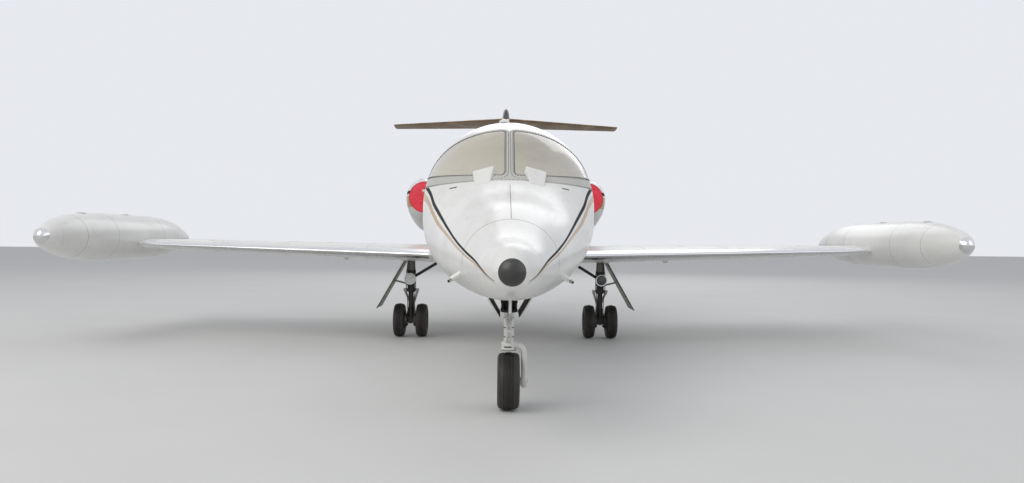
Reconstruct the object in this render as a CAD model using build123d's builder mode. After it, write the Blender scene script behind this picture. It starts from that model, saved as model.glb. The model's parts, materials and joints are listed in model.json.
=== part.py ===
from build123d import *
from math import cos, radians, sin
import os

# A light twin-jet business aircraft with tip tanks and a T-tail, parked on its wheels.
# Millimetres. The nose points to -Y, +X is the aircraft's left and +Z is up. The origin
# is on the floor, under the middle of the aircraft's box.
# A station is the distance aft of the nose tip.

os.makedirs("parts", exist_ok=True)

# Overall
LENGTH = 13180
WALL = 60
TAIL_WALL = 25
COWL_WALL = 30
GLASS = 14
GAP = 6
HINGE_GAP = 12
SEAT_GAP = 0.3
PIN_RADIUS = 8
PIN_REACH = 40
BIG = 4000

# Fuselage sections: station, half width, height of the widest line, top, bottom, squareness
BODY_SECTIONS = (
    (45, 81, 1104, 1185, 1023, 0.05),
    (300, 176, 1112, 1280, 950, 0.05),
    (900, 325, 1140, 1428, 885, 0.06),
    (1500, 465, 1210, 1592, 855, 0.10),
    (2150, 612, 1335, 1752, 842, 0.14),
    (2600, 712, 1470, 2015, 838, 0.16),
    (3050, 783, 1580, 2285, 836, 0.16),
    (3700, 815, 1646, 2452, 834, 0.16),
    (4300, 815, 1646, 2456, 834, 0.16),
    (6600, 815, 1646, 2456, 834, 0.16),
    (7200, 812, 1648, 2456, 836, 0.16),
    (8600, 735, 1690, 2445, 935, 0.12),
    (10000, 555, 1790, 2375, 1195, 0.08),
    (11500, 315, 1905, 2235, 1570, 0.05),
    (12700, 105, 1995, 2105, 1885, 0.05),
)
NOSE_CONE_END = 900
NOSE_END = 2250
COCKPIT_END = 3850
CABIN_END = 7200
BELT_HEIGHT = 1640
FLOOR_TOP = 1080
FLOOR_THICKNESS = 40
BULKHEAD = 50

# Nose cap and its sections
CAP_RADIUS = BODY_SECTIONS[0][1]
CAP_DEPTH = BODY_SECTIONS[0][0]
NOSE_HEIGHT = BODY_SECTIONS[0][2]

# Windshield, seen from the side: station and height of each corner
SHIELD_CORNERS = ((2150, 1822), (3430, 1868), (3060, 2300), (2960, 2700), (2150, 2700))
SHIELD_CORNER_RADIUS = 45
POST_HALF_WIDTH = 38
POST_CORNER_RADIUS = 40

# Cabin door on the left side
DOOR_START = 3950
DOOR_WIDTH = 610
DOOR_BOTTOM = 1060
DOOR_TOP = 2230
DOOR_SPLIT = BELT_HEIGHT
DOOR_INNER_X = 300
SILL_X = 540
STEP_HEIGHTS = (1210, 1400)
STEP_X = 515
STEP_INSET = 60
STEP_THICKNESS = 28
DOOR_HINGES = ((575, 2227), (643, 1063))
BOSS_LENGTH = 45
DOOR_PIN_RADIUS = 4
KNUCKLE_RADIUS = 11
KNUCKLE_LENGTH = 70
KNUCKLE_PITCH = 225

# Cabin windows: side, station, width, height
WINDOW_HEIGHT = 1870
WINDOW_RADIUS = 85
CABIN_WINDOWS = (
    ("left", 5200, 350, 400),
    ("left", 6000, 350, 400),
    ("right", 4255, 350, 400),
    ("right", 5200, 350, 400),
    ("right", 6000, 350, 400),
)
DOOR_WINDOW = (DOOR_START + DOOR_WIDTH / 2, 300, 300)

# Wing
WING_ROOT_LEAD = 5153
WING_ROOT_CHORD = 2740
WING_TIP_X = 4840
WING_TIP_LEAD = 6550
WING_TIP_CHORD = 1550
WING_THICKNESS = 0.09
WING_ROOT_HEIGHT = 1090
WING_TIP_HEIGHT = 1195
CREST = 0.45
EDGE_THICKNESS = 0.003
WING_HINGE = 0.765
FLAP_SPAN = (1010, 2800)
AILERON_SPAN = (2860, 4640)
SPOILER_SPAN = (1420, 2560)
SPOILER_CHORD = (0.58, 0.70)
SPOILER_THICKNESS = 16
NOSE_SHARE = 0.96
HINGE_REACH = 1200

# Tip tanks
TANK_X = 5130
TANK_HEIGHT = 1283
TANK_RADIUS = 295
TANK_NOSE = 4650
TANK_NOSE_LENGTH = 1350
TANK_BARREL_END = 7450
TANK_END = 9150
TANK_TAIL_RADIUS = 28
TANK_CAP_DEPTH = 66

# Nacelle sections: station, half width, height above the axis, depth below it
NACELLE_X = 1217
NACELLE_HEIGHT = 1923
NACELLE_SECTIONS = (
    (8100, 247, 247, 247),
    (8350, 300, 300, 345),
    (9150, 338, 348, 520),
    (9950, 305, 310, 410),
    (10450, 232, 232, 246),
)
INLET_RADIUS = 215
LIP_ROUND = 12
ENGINE_RADIUS = 228
ENGINE_START = 8760
ENGINE_END = 9800
CONE_RADIUS = 95
CONE_LENGTH = 280
CONE_TIP_RADIUS = 14
PIPE_RADIUS = 190
PIPE_WALL = 14
PIPE_END = 10620
PLUG_RADIUS = 231
PLUG_THICKNESS = 50
PLUG_REACH = 110
PYLON_LEAD = 8520
PYLON_CHORD = 1700
PYLON_THICKNESS = 0.075
PYLON_HEIGHT = 1960

# Fin and rudder: height, leading edge station, chord
FIN_ROOT = (2150, 9690, 2520)
FIN_TIP = (3640, 11190, 1580)
FIN_THICKNESS = 0.095
RUDDER_HINGE = 0.70
RUDDER_HEIGHTS = (2630, 3400)

# Tailplane and elevators
TAIL_HEIGHT = 3575
TAIL_ROOT_LEAD = 11450
TAIL_ROOT_CHORD = 1350
TAIL_TIP_X = 2235
TAIL_TIP_LEAD = 12450
TAIL_TIP_CHORD = 640
TAIL_THICKNESS = 0.085
ELEVATOR_HINGE = 0.70
ELEVATOR_SPAN = (150, 2130)

# Bullet fairing on top of the fin: station, half width, half height
BULLET_HEIGHT = 3615
BULLET_SECTIONS = (
    (10600, 8, 14),
    (10950, 44, 80),
    (11600, 62, 115),
    (12500, 58, 104),
    (13180, 9, 14),
)

# Nose gear
NOSE_WHEEL_STATION = 1700
TYRE_RADIUS = 220
AXLE_HEIGHT = TYRE_RADIUS
NOSE_WELL = (1020, 1960)
NOSE_WELL_HALF_WIDTH = 145
NOSE_WELL_TOP = 1130
NOSE_STRUT_RADIUS = 50
NOSE_STRUT_END = 740
NOSE_BRACE_START = 800
NOSE_BRACE_LENGTH = 240
NOSE_BRACE_RADIUS = 20
NOSE_BEAM = (16, 200, 255)
NOSE_TUBE_RADIUS = 38
NOSE_COLLAR_TOP = 520
NOSE_COLLAR_BOTTOM = 470
NOSE_COLLAR_RADIUS = 55
FORK_ARM_INSIDE = 96
FORK_ARM_OUTSIDE = 138
FORK_ARM_DEPTH = 90
FORK_ARM_DROP = 45
FORK_ARM_ROUND = 14
FORK_SLOPE = 20
NOSE_LINK_RADIUS = 14
NOSE_LINKS = (700, 610, 500)
NOSE_LINK_INSET = 30
NOSE_DOOR_TOP_X = 150
NOSE_DOOR_BOTTOM_X = 72
NOSE_DOOR_BOTTOM = 745
NOSE_DOOR_START = 1180
NOSE_DOOR_LENGTH = 560
NOSE_DOOR_RISE = 25
DOOR_PLATE = 12

# Tyres and rims: half width at the bead, half width over all, crown half width
NOSE_TYRE = (48, 85, 44)
MAIN_TYRE = (52, 72, 40)
CROWN_DROP = 8
SHOULDER_SHARE = 0.55
RIM_RADIUS = 112
RIM_EDGE = 16
RIM_DEPTH = 26
HUB_RADIUS = 62
HUB_STEP = 10
AXLE_RADIUS = 27
AXLE_FIT = 0.3
HUB_WEB = 16
AXLE_CAP = 12

# Main gear
MAIN_STATION = 6630
MAIN_X = 1255
WHEEL_OFFSET = 147
MAIN_CYLINDER_RADIUS = 50
MAIN_CYLINDER_END = 600
MAIN_PISTON_RADIUS = 34
MAIN_STRUT_TOP = 1060
AXLE_BOSS_RADIUS = 46
BRAKE_RADIUS = 84
BRAKE_SPAN = (48, 88)
LINK_HEIGHTS = (620, 440, 270)
LINK_RADIUS = 15
LINK_ROOT = 20
BRACE_RADIUS = 19
BRACE_LOW = (1225, 790)
BRACE_HIGH = (830, 1030)
LAMP_HEIGHT = 772
LAMP_RADIUS = 73
LAMP_DEPTH = 70
LAMP_STATION = 6470
LAMP_ROUND = 30
LAMP_ARM_RADIUS = 18
MAIN_DOOR_TOP = (1318, 1000)
MAIN_DOOR_BOTTOM = (1672, 395)
MAIN_DOOR_LENGTH = 470
MAIN_DOOR_RISE = 30
DOOR_LINK_HEIGHT = 700
DOOR_LINK_SHARE = 0.45
DOOR_LINK_RADIUS = 12
DOOR_LINK_SINK = 4
LINK_REACH = 135

# Seats: x of the middle, station of the cushion's front, width of the cushion, width of the base, headrests
SEAT_LENGTH = 460
SEAT_BASE_INSET = 70
SEAT_RAKE = 70
SEAT_TOP = 1410
SEAT_CUSHION = 130
SEAT_BACK = 110
SEAT_BACK_TOP = 1840
HEADREST_TOP = 1990
HEADREST_WIDTH = 290
HEADREST_RAKE = 20
CREW_SEATS = ((-330, 3180, 440, 300, 1), (330, 3180, 440, 300, 1))
CABIN_SEATS = (
    (-400, 4850, 470, 260, 1),
    (400, 4850, 470, 260, 1),
    (-400, 5780, 470, 260, 1),
    (400, 5780, 470, 260, 1),
    (0, 6540, 1080, 960, 2),
)
YOKE_HEIGHT = 1530
YOKE_STATION = 2960
YOKE_RADIUS = 13
YOKE_HALF_WIDTH = 120
YOKE_GRIP = 90
PANEL_STATION = 2800
PANEL_TOP = 1715
PANEL_BOTTOM = 1330
PANEL_THICKNESS = 60
SHELF_THICKNESS = 22
SHELF_START = 2480
PEDESTAL_HALF_WIDTH = 110
PEDESTAL_END = 3160
PEDESTAL_TOP = 1330

# Probes and blades
PITOT_STATION = 1050
PITOT_ROOT = (300, 1085)
PITOT_END = (402, 1018)
PITOT_RADIUS = 12
PITOT_LENGTH = 310
PITOT_TAIL = 30
PITOT_MAST_RADIUS = 19
BLADE_STATIONS = (960, 5050)
BLADE_CHORD = 150
BLADE_THICKNESS = 22
BLADE_DROP = 85
BLADE_ROOT = 60

# Windshield air outlets: station, x and height of the middle, width, depth
DUCT_SECTIONS = (
    (2200, 222, 1733, 125, 30),
    (2365, 212, 1843, 182, 88),
)
DUCT_ROLL = 15.5
DUCT_ROUND = 10
DUCT_WALL = 7
JACK_PAD = (2100, 6500, 32, 1015)
TOW_BORE = 9


def y_at(station):
    return station - LENGTH / 2


def block(low, high, mode=Mode.ADD):
    """A box between two opposite corners, in the part that is being made."""
    middle = [(a + b) / 2 for a, b in zip(low, high)]
    size = [b - a for a, b in zip(low, high)]
    with Locations(tuple(middle)):
        Box(*size, mode=mode)


def rod(start, end, radius, mode=Mode.ADD):
    """A round bar from one point to another, in the part that is being made."""
    run = Vector(*end) - Vector(*start)
    plane = Plane(origin=start, z_dir=run)
    with BuildSketch(plane) as section:
        Circle(radius)
    extrude(section.sketch, amount=run.length, dir=run.normalized(), mode=mode)


def body_ring(row, inset):
    """One fuselage section: a half ellipse above the widest line, and a fuller half below."""
    station, half_width, middle, top, bottom, squareness = row
    wide = half_width - inset
    up = top - middle - inset
    down = middle - bottom - inset
    flat_x = squareness * wide
    flat_z = squareness * down
    plane = Plane(origin=(0, y_at(station), middle), x_dir=(1, 0, 0), z_dir=(0, -1, 0))
    with BuildSketch(plane) as ring:
        with BuildLine():
            EllipticalCenterArc((0, 0), wide, up, 0, arc_size=90)
            EllipticalCenterArc((0, 0), wide, up, 90, arc_size=90)
            Line((-wide, 0), (-wide, -flat_z))
            EllipticalCenterArc((-flat_x, -flat_z), wide - flat_x, down - flat_z, 180, arc_size=90)
            Line((-flat_x, -down), (flat_x, -down))
            EllipticalCenterArc((flat_x, -flat_z), wide - flat_x, down - flat_z, 270, arc_size=90)
            Line((wide, -flat_z), (wide, 0))
        make_face()
    return ring.sketch


def oval_ring(origin, half_width, up, down):
    """An upright oval of four quarter ellipses, across the aircraft."""
    plane = Plane(origin=origin, x_dir=(1, 0, 0), z_dir=(0, -1, 0))
    with BuildSketch(plane) as ring:
        with BuildLine():
            EllipticalCenterArc((0, 0), half_width, up, 0, arc_size=90)
            EllipticalCenterArc((0, 0), half_width, up, 90, arc_size=90)
            EllipticalCenterArc((0, 0), half_width, down, 180, arc_size=90)
            EllipticalCenterArc((0, 0), half_width, down, 270, arc_size=90)
        make_face()
    return ring.sketch


def airfoil(plane, chord, thickness):
    """A symmetric section: elliptical to its crest, then one arc each side to a thin edge."""
    crest = CREST * chord
    half = thickness * chord / 2
    edge = EDGE_THICKNESS * chord / 2
    with BuildSketch(plane) as section:
        with BuildLine():
            EllipticalCenterArc((crest, 0), crest, half, 90, arc_size=90)
            EllipticalCenterArc((crest, 0), crest, half, 180, arc_size=90)
            TangentArc((crest, -half), (chord, -edge), tangent=(1, 0))
            Line((chord, -edge), (chord, edge))
            TangentArc((crest, half), (chord, edge), tangent=(1, 0))
        make_face()
    return section.sketch


def half_depth(share, chord, thickness):
    """Half the section's depth at a share of its chord behind the crest."""
    edge = EDGE_THICKNESS / 2
    fall = (share - CREST) / (1 - CREST)
    return chord * (thickness / 2 - (thickness / 2 - edge) * fall**2)


def side_plane(x, station, height):
    """A plane that cuts a wing at x: its x runs aft and its y runs up."""
    return Plane(origin=(x, y_at(station), height), x_dir=(0, 1, 0), z_dir=(1, 0, 0))


def level_plane(station, height):
    """A level plane that cuts the fin: its x runs aft."""
    return Plane(origin=(0, y_at(station), height), x_dir=(0, 1, 0), z_dir=(0, 0, 1))


def blend(start, end, share):
    return start + (end - start) * share


def wing_at(x, share):
    """Station, height and chord of the wing at x, for a share of the chord."""
    part = x / WING_TIP_X
    chord = blend(WING_ROOT_CHORD, WING_TIP_CHORD, part)
    station = blend(WING_ROOT_LEAD, WING_TIP_LEAD, part) + share * chord
    return station, blend(WING_ROOT_HEIGHT, WING_TIP_HEIGHT, part), chord


def tail_at(x, share):
    """Station, height and chord of the tailplane at x, for a share of the chord."""
    part = x / TAIL_TIP_X
    chord = blend(TAIL_ROOT_CHORD, TAIL_TIP_CHORD, part)
    return blend(TAIL_ROOT_LEAD, TAIL_TIP_LEAD, part) + share * chord, TAIL_HEIGHT, chord


def fin_at(height, share):
    """Station and chord of the fin at a height, for a share of the chord."""
    part = (height - FIN_ROOT[0]) / (FIN_TIP[0] - FIN_ROOT[0])
    chord = blend(FIN_ROOT[2], FIN_TIP[2], part)
    return blend(FIN_ROOT[1], FIN_TIP[1], part) + share * chord, chord


def hinge_zone(ends, radii, gap):
    """The space that a hinged surface takes: a round nose on the hinge line and all aft of it."""
    start = Vector(*ends[0])
    end = Vector(*ends[1])
    axis = (end - start).normalized()
    aft = Vector(0, 1, 0)
    aft = (aft - axis * aft.dot(axis)).normalized()
    side = HINGE_REACH / 4
    sections = []
    for point, radius, shift in ((start, radii[0], -gap), (end, radii[1], gap)):
        nose = radius + gap
        plane = Plane(origin=point + axis * shift, x_dir=aft, z_dir=axis)
        with BuildSketch(plane) as section:
            with BuildLine():
                ThreePointArc((0, nose), (-nose, 0), (0, -nose))
                Polyline(
                    (0, -nose), (0, -side), (HINGE_REACH, -side),
                    (HINGE_REACH, side), (0, side), (0, nose),
                )
            make_face()
        sections.append(section.sketch)
    with BuildPart() as zone:
        loft(sections, ruled=True)
    return zone.part


def pins(ends, radius, inside, outside, mode=Mode.ADD):
    """A short bar on each end of a hinge line, in the part that is being made."""
    start = Vector(*ends[0])
    end = Vector(*ends[1])
    axis = (end - start).normalized()
    rod(start - axis * outside, start + axis * inside, radius, mode)
    rod(end + axis * outside, end - axis * inside, radius, mode)


def pin_holes(ends):
    pins(ends, PIN_RADIUS + SEAT_GAP, PIN_REACH + GAP, GAP, Mode.SUBTRACT)


def hinge_pins(ends):
    pins(ends, PIN_RADIUS, PIN_REACH, HINGE_GAP + PIN_RADIUS)


def tyre(centre, sizes):
    """A tyre on an axle along X: beads, bulging walls and a flatter crown."""
    bead, wide, crown = sizes
    shoulder = blend(RIM_RADIUS, TYRE_RADIUS, SHOULDER_SHARE)
    edge = TYRE_RADIUS - CROWN_DROP
    plane = Plane(origin=centre, x_dir=(1, 0, 0), z_dir=(0, -1, 0))
    with BuildPart() as ring:
        with BuildSketch(plane):
            with BuildLine():
                Line((bead, RIM_RADIUS), (-bead, RIM_RADIUS))
                ThreePointArc((-bead, RIM_RADIUS), (-wide, shoulder), (-crown, edge))
                ThreePointArc((-crown, edge), (0, TYRE_RADIUS), (crown, edge))
                ThreePointArc((crown, edge), (wide, shoulder), (bead, RIM_RADIUS))
            make_face()
        revolve(axis=Axis(centre, (1, 0, 0)))
    return ring.part


def rim(centre, bead):
    """A split wheel: outer barrel, thin web and hub, bored for its axle."""
    bore = AXLE_RADIUS + AXLE_FIT
    plane = Plane(origin=centre, x_dir=(1, 0, 0), z_dir=(0, -1, 0))
    with BuildPart() as wheel:
        with BuildSketch(plane):
            with BuildLine():
                Polyline(
                    (-bead, RIM_RADIUS), (-bead, RIM_RADIUS - RIM_EDGE), (-HUB_WEB, RIM_RADIUS - RIM_DEPTH),
                    (-HUB_WEB, HUB_RADIUS), (-bead, HUB_RADIUS - HUB_STEP), (-bead, bore),
                    (bead, bore), (bead, HUB_RADIUS - HUB_STEP), (HUB_WEB, HUB_RADIUS),
                    (HUB_WEB, RIM_RADIUS - RIM_DEPTH), (bead, RIM_RADIUS - RIM_EDGE), (bead, RIM_RADIUS),
                    close=True,
                )
            make_face()
        revolve(axis=Axis(centre, (1, 0, 0)))
    return wheel.part


def write(piece, name):
    piece.label = name
    export_step(piece, f"parts/{name}.step")


def write_pair(piece, name):
    """Write a left piece and its mirror image as two nodes."""
    with BuildPart() as other:
        mirror(piece, about=Plane.YZ)
    write(piece, f"{name}_left")
    write(other.part, f"{name}_right")


def write_twins(piece, name):
    """Write a left piece and its mirror image as two solids of one node."""
    with BuildPart() as both:
        add(piece)
        mirror(piece, about=Plane.YZ)
    write(both.part, name)


# Whole outer form of the fuselage, and the same form inside its walls and glass
with BuildPart() as hull:
    loft([body_ring(row, 0) for row in BODY_SECTIONS])

with BuildPart() as room:
    loft([body_ring(row, WALL) for row in BODY_SECTIONS[3:-1]])

with BuildPart() as glass_room:
    loft([body_ring(row, GLASS) for row in BODY_SECTIONS[3:-1]])

with BuildPart() as shell:
    add(hull.part)
    add(room.part, mode=Mode.SUBTRACT)


def slab(first, last, low=0, high=BIG, mode=Mode.INTERSECT):
    """Keep what lies between two stations and two heights."""
    block((-BIG, y_at(first), low), (BIG, y_at(last), high), mode)


# Nose
cap_sphere = (CAP_RADIUS**2 + CAP_DEPTH**2) / (2 * CAP_DEPTH)
with BuildPart() as nose_cap:
    with Locations((0, y_at(cap_sphere), NOSE_HEIGHT)):
        Sphere(cap_sphere)
    block((-BIG, y_at(0), 0), (BIG, y_at(CAP_DEPTH), BIG), Mode.INTERSECT)
write(nose_cap.part, "nose_cap")

with BuildPart() as nose_cone:
    add(hull.part)
    slab(0, NOSE_CONE_END)
write(nose_cone.part, "nose_cone")

with BuildPart() as nose_section:
    add(hull.part)
    slab(NOSE_CONE_END, NOSE_END)
    block(
        (-NOSE_WELL_HALF_WIDTH, y_at(NOSE_WELL[0]), 0),
        (NOSE_WELL_HALF_WIDTH, y_at(NOSE_WELL[1]), NOSE_WELL_TOP),
        Mode.SUBTRACT,
    )
write(nose_section.part, "nose_section")


# Windshield openings, cut through the wall each side of the centre post
def shield_zone(inset):
    with BuildPart() as zone:
        for order, side in enumerate((1, -1)):
            start = Plane.YZ.offset(side * (POST_HALF_WIDTH + inset))
            with BuildSketch(start) as outline:
                with BuildLine():
                    Polyline([(y_at(station), height) for station, height in SHIELD_CORNERS], close=True)
                make_face()
                fillet(outline.vertices().group_by(Axis.Y)[0], SHIELD_CORNER_RADIUS)
                offset(amount=-inset, kind=Kind.INTERSECTION)
            extrude(outline.sketch, amount=BIG / 4, dir=(side, 0, 0))
            post_face = zone.faces().filter_by(Plane.YZ).sort_by(Axis.X)[order]
            fillet(post_face.edges(), POST_CORNER_RADIUS - inset)
    return zone.part


with BuildPart() as cockpit_shell:
    add(shell.part)
    slab(NOSE_END, COCKPIT_END)
    add(shield_zone(0), mode=Mode.SUBTRACT)
write(cockpit_shell.part, "cockpit_shell")

with BuildPart() as windshield_panes:
    add(hull.part)
    add(glass_room.part, mode=Mode.SUBTRACT)
    slab(NOSE_END, COCKPIT_END)
    add(shield_zone(SEAT_GAP), mode=Mode.INTERSECT)
write(windshield_panes.part, "windshield_panes")


# Cabin: window and door openings
def window_zone(side, station, width, height, inset):
    """A rounded window's outline, carried out through one side of the cabin."""
    direction = 1 if side == "left" else -1
    with BuildPart() as zone:
        with BuildSketch(side_plane(0, station, WINDOW_HEIGHT)) as outline:
            RectangleRounded(width - 2 * inset, height - 2 * inset, WINDOW_RADIUS - inset)
        extrude(outline.sketch, amount=BIG / 4, dir=(direction, 0, 0))
    return zone.part


def door_zone(low, high, inset):
    with BuildPart() as zone:
        block(
            (DOOR_INNER_X, y_at(DOOR_START) + inset, low + inset),
            (BIG / 4, y_at(DOOR_START + DOOR_WIDTH) - inset, high - inset),
        )
    return zone.part


def door_pin(place, radius, mode=Mode.ADD):
    """The pin along a door's hinge line, in the part that is being made."""
    x, height = place
    start = (x, y_at(DOOR_START) - GAP, height)
    end = (x, y_at(DOOR_START + DOOR_WIDTH) + GAP, height)
    rod(start, end, radius, mode)


def knuckles(place, radius, length, mode=Mode.ADD):
    """The hinge knuckles of a door, or the room that they need."""
    x, height = place
    middle = y_at(DOOR_START + DOOR_WIDTH / 2)
    for step in (-1, 0, 1):
        y = middle + step * KNUCKLE_PITCH
        rod((x, y - length / 2, height), (x, y + length / 2, height), radius, mode)


def hang_door(place):
    """Give the door being made its knuckles, bored for their pin."""
    knuckles(place, KNUCKLE_RADIUS, KNUCKLE_LENGTH)
    door_pin(place, DOOR_PIN_RADIUS + SEAT_GAP, Mode.SUBTRACT)


def hold_door(place):
    """Cut room for a door's knuckles in the shell being made, and hold their pin at both ends."""
    knuckles(place, KNUCKLE_RADIUS + GAP / 2, KNUCKLE_LENGTH + GAP, Mode.SUBTRACT)
    door_pin(place, DOOR_PIN_RADIUS)
    x, height = place
    for edge, away in ((y_at(DOOR_START), -BOSS_LENGTH), (y_at(DOOR_START + DOOR_WIDTH), BOSS_LENGTH)):
        rod((x, edge, height), (x, edge + away, height), KNUCKLE_RADIUS)


with BuildPart() as cabin_shell_upper:
    add(shell.part)
    slab(COCKPIT_END, CABIN_END, low=BELT_HEIGHT)
    for side, station, width, height in CABIN_WINDOWS:
        add(window_zone(side, station, width, height, 0), mode=Mode.SUBTRACT)
    add(door_zone(DOOR_BOTTOM, DOOR_TOP, 0), mode=Mode.SUBTRACT)
    hold_door(DOOR_HINGES[0])
write(cabin_shell_upper.part, "cabin_shell_upper")

with BuildPart() as cabin_shell_lower:
    add(shell.part)
    slab(COCKPIT_END, CABIN_END, high=BELT_HEIGHT)
    add(door_zone(DOOR_BOTTOM, DOOR_TOP, 0), mode=Mode.SUBTRACT)
    hold_door(DOOR_HINGES[1])
write(cabin_shell_lower.part, "cabin_shell_lower")

with BuildPart() as pane_zones:
    for side, station, width, height in CABIN_WINDOWS:
        add(window_zone(side, station, width, height, SEAT_GAP))

with BuildPart() as cabin_windows:
    add(hull.part)
    add(glass_room.part, mode=Mode.SUBTRACT)
    add(pane_zones.part, mode=Mode.INTERSECT)
write(cabin_windows.part, "cabin_windows")

with BuildPart() as door_upper:
    add(shell.part)
    add(door_zone(DOOR_SPLIT - GAP / 2, DOOR_TOP, GAP), mode=Mode.INTERSECT)
    add(window_zone("left", *DOOR_WINDOW, 0), mode=Mode.SUBTRACT)
    hang_door(DOOR_HINGES[0])
write(door_upper.part, "door_upper")

with BuildPart() as door_window:
    add(hull.part)
    add(glass_room.part, mode=Mode.SUBTRACT)
    add(window_zone("left", *DOOR_WINDOW, SEAT_GAP), mode=Mode.INTERSECT)
write(door_window.part, "door_window")

with BuildPart() as door_steps:
    for height in STEP_HEIGHTS:
        block(
            (STEP_X, y_at(DOOR_START) + STEP_INSET, height),
            (BIG / 4, y_at(DOOR_START + DOOR_WIDTH) - STEP_INSET, height + STEP_THICKNESS),
        )
    add(room.part, mode=Mode.INTERSECT)

with BuildPart() as door_lower:
    add(shell.part)
    add(door_zone(DOOR_BOTTOM, DOOR_SPLIT + GAP / 2, GAP), mode=Mode.INTERSECT)
    add(door_steps.part)
    hang_door(DOOR_HINGES[1])
write(door_lower.part, "door_lower")

with BuildPart() as tail_section:
    add(hull.part)
    slab(CABIN_END, BODY_SECTIONS[-1][0])
    loft([body_ring(row, TAIL_WALL) for row in BODY_SECTIONS[10:-1]], mode=Mode.SUBTRACT)
write(tail_section.part, "tail_section")

# Floor, bulkhead and what stands in the cabin
with BuildPart() as cabin_floor:
    add(room.part)
    slab(NOSE_END, CABIN_END - BULKHEAD, FLOOR_TOP - FLOOR_THICKNESS, FLOOR_TOP)
    block(
        (SILL_X, y_at(DOOR_START) - 2 * GAP, 0),
        (BIG, y_at(DOOR_START + DOOR_WIDTH) + 2 * GAP, BIG),
        Mode.SUBTRACT,
    )
write(cabin_floor.part, "cabin_floor")

with BuildPart() as aft_bulkhead:
    add(room.part)
    slab(CABIN_END - BULKHEAD, CABIN_END)
write(aft_bulkhead.part, "aft_bulkhead")

with BuildPart() as instrument_panel:
    block(
        (-BIG, y_at(PANEL_STATION), PANEL_BOTTOM),
        (BIG, y_at(PANEL_STATION + PANEL_THICKNESS), PANEL_TOP),
    )
    block(
        (-BIG, y_at(SHELF_START), PANEL_TOP - SHELF_THICKNESS),
        (BIG, y_at(PANEL_STATION + PANEL_THICKNESS), PANEL_TOP),
    )
    block(
        (-PEDESTAL_HALF_WIDTH, y_at(PANEL_STATION), FLOOR_TOP),
        (PEDESTAL_HALF_WIDTH, y_at(PEDESTAL_END), PEDESTAL_TOP),
    )
    add(room.part, mode=Mode.INTERSECT)
write(instrument_panel.part, "instrument_panel")

with BuildPart() as control_yokes:
    yoke_y = y_at(YOKE_STATION)
    for x in (CREW_SEATS[0][0], CREW_SEATS[1][0]):
        rod((x, y_at(PANEL_STATION + PANEL_THICKNESS), YOKE_HEIGHT), (x, yoke_y, YOKE_HEIGHT), YOKE_RADIUS)
        block(
            (x - YOKE_HALF_WIDTH, yoke_y - YOKE_RADIUS, YOKE_HEIGHT - YOKE_RADIUS),
            (x + YOKE_HALF_WIDTH, yoke_y + YOKE_RADIUS, YOKE_HEIGHT + YOKE_RADIUS),
        )
        for side in (-1, 1):
            grip = x + side * YOKE_HALF_WIDTH
            rod((grip, yoke_y, YOKE_HEIGHT), (grip, yoke_y, YOKE_HEIGHT + YOKE_GRIP), YOKE_RADIUS)
write(control_yokes.part, "control_yokes")


def seats(rows):
    """Seats with a base, a cushion, a raked back and headrests, facing forward."""
    underside = SEAT_TOP - SEAT_CUSHION
    with BuildPart() as group:
        for x, station, width, base, heads in rows:
            front = y_at(station)
            back = front + SEAT_LENGTH
            neck = back + SEAT_RAKE
            for head in range(heads):
                middle = x + (head + 0.5 - heads / 2) * width / heads
                with BuildSketch(Plane.YZ.offset(middle - HEADREST_WIDTH / 2)):
                    with BuildLine():
                        Polyline(
                            (neck - SEAT_BACK, SEAT_BACK_TOP), (neck, SEAT_BACK_TOP),
                            (neck + HEADREST_RAKE, HEADREST_TOP),
                            (neck + HEADREST_RAKE - SEAT_BACK, HEADREST_TOP), close=True,
                        )
                    make_face()
                extrude(amount=HEADREST_WIDTH)
            with BuildSketch(Plane.YZ.offset(x - width / 2)):
                with BuildLine():
                    Polyline(
                        (front, underside), (back, underside), (neck, SEAT_BACK_TOP),
                        (neck - SEAT_BACK, SEAT_BACK_TOP), (back - SEAT_BACK, SEAT_TOP),
                        (front, SEAT_TOP), close=True,
                    )
                make_face()
            extrude(amount=width)
            block(
                (x - base / 2, front + SEAT_BASE_INSET, FLOOR_TOP),
                (x + base / 2, back - SEAT_BASE_INSET, underside),
            )
    return group.part


write(seats(CREW_SEATS), "crew_seats")
write(seats(CABIN_SEATS), "cabin_seats")

# Tip tank: the whole turned form, its nose cap and its body
tank_axis = Axis((TANK_X, 0, TANK_HEIGHT), (0, 1, 0))
tank_shoulder = y_at(TANK_NOSE + TANK_NOSE_LENGTH)
tank_barrel_end = y_at(TANK_BARREL_END)
tank_end = y_at(TANK_END)
tank_top = TANK_HEIGHT + TANK_RADIUS
tail_top = TANK_HEIGHT + TANK_TAIL_RADIUS
with BuildPart() as tank_form:
    with BuildSketch(Plane.YZ.offset(TANK_X)):
        with BuildLine():
            EllipticalCenterArc((tank_shoulder, TANK_HEIGHT), TANK_NOSE_LENGTH, TANK_RADIUS, 90, arc_size=90)
            Line((tank_shoulder, tank_top), (tank_barrel_end, tank_top))
            TangentArc((tank_barrel_end, tank_top), (tank_end, tail_top), tangent=(1, 0))
            Polyline((tank_end, tail_top), (tank_end, TANK_HEIGHT), (y_at(TANK_NOSE), TANK_HEIGHT))
        make_face()
    revolve(axis=tank_axis)

with BuildPart() as tank_nose_cap:
    add(tank_form.part)
    block((0, y_at(0), 0), (2 * BIG, y_at(TANK_NOSE + TANK_CAP_DEPTH), BIG), Mode.INTERSECT)
write_twins(tank_nose_cap.part, "tank_nose_caps")

with BuildPart() as tip_tank:
    add(tank_form.part)
    block((0, y_at(0), 0), (2 * BIG, y_at(TANK_NOSE + TANK_CAP_DEPTH), BIG), Mode.SUBTRACT)
write_pair(tip_tank.part, "tip_tank")

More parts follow.
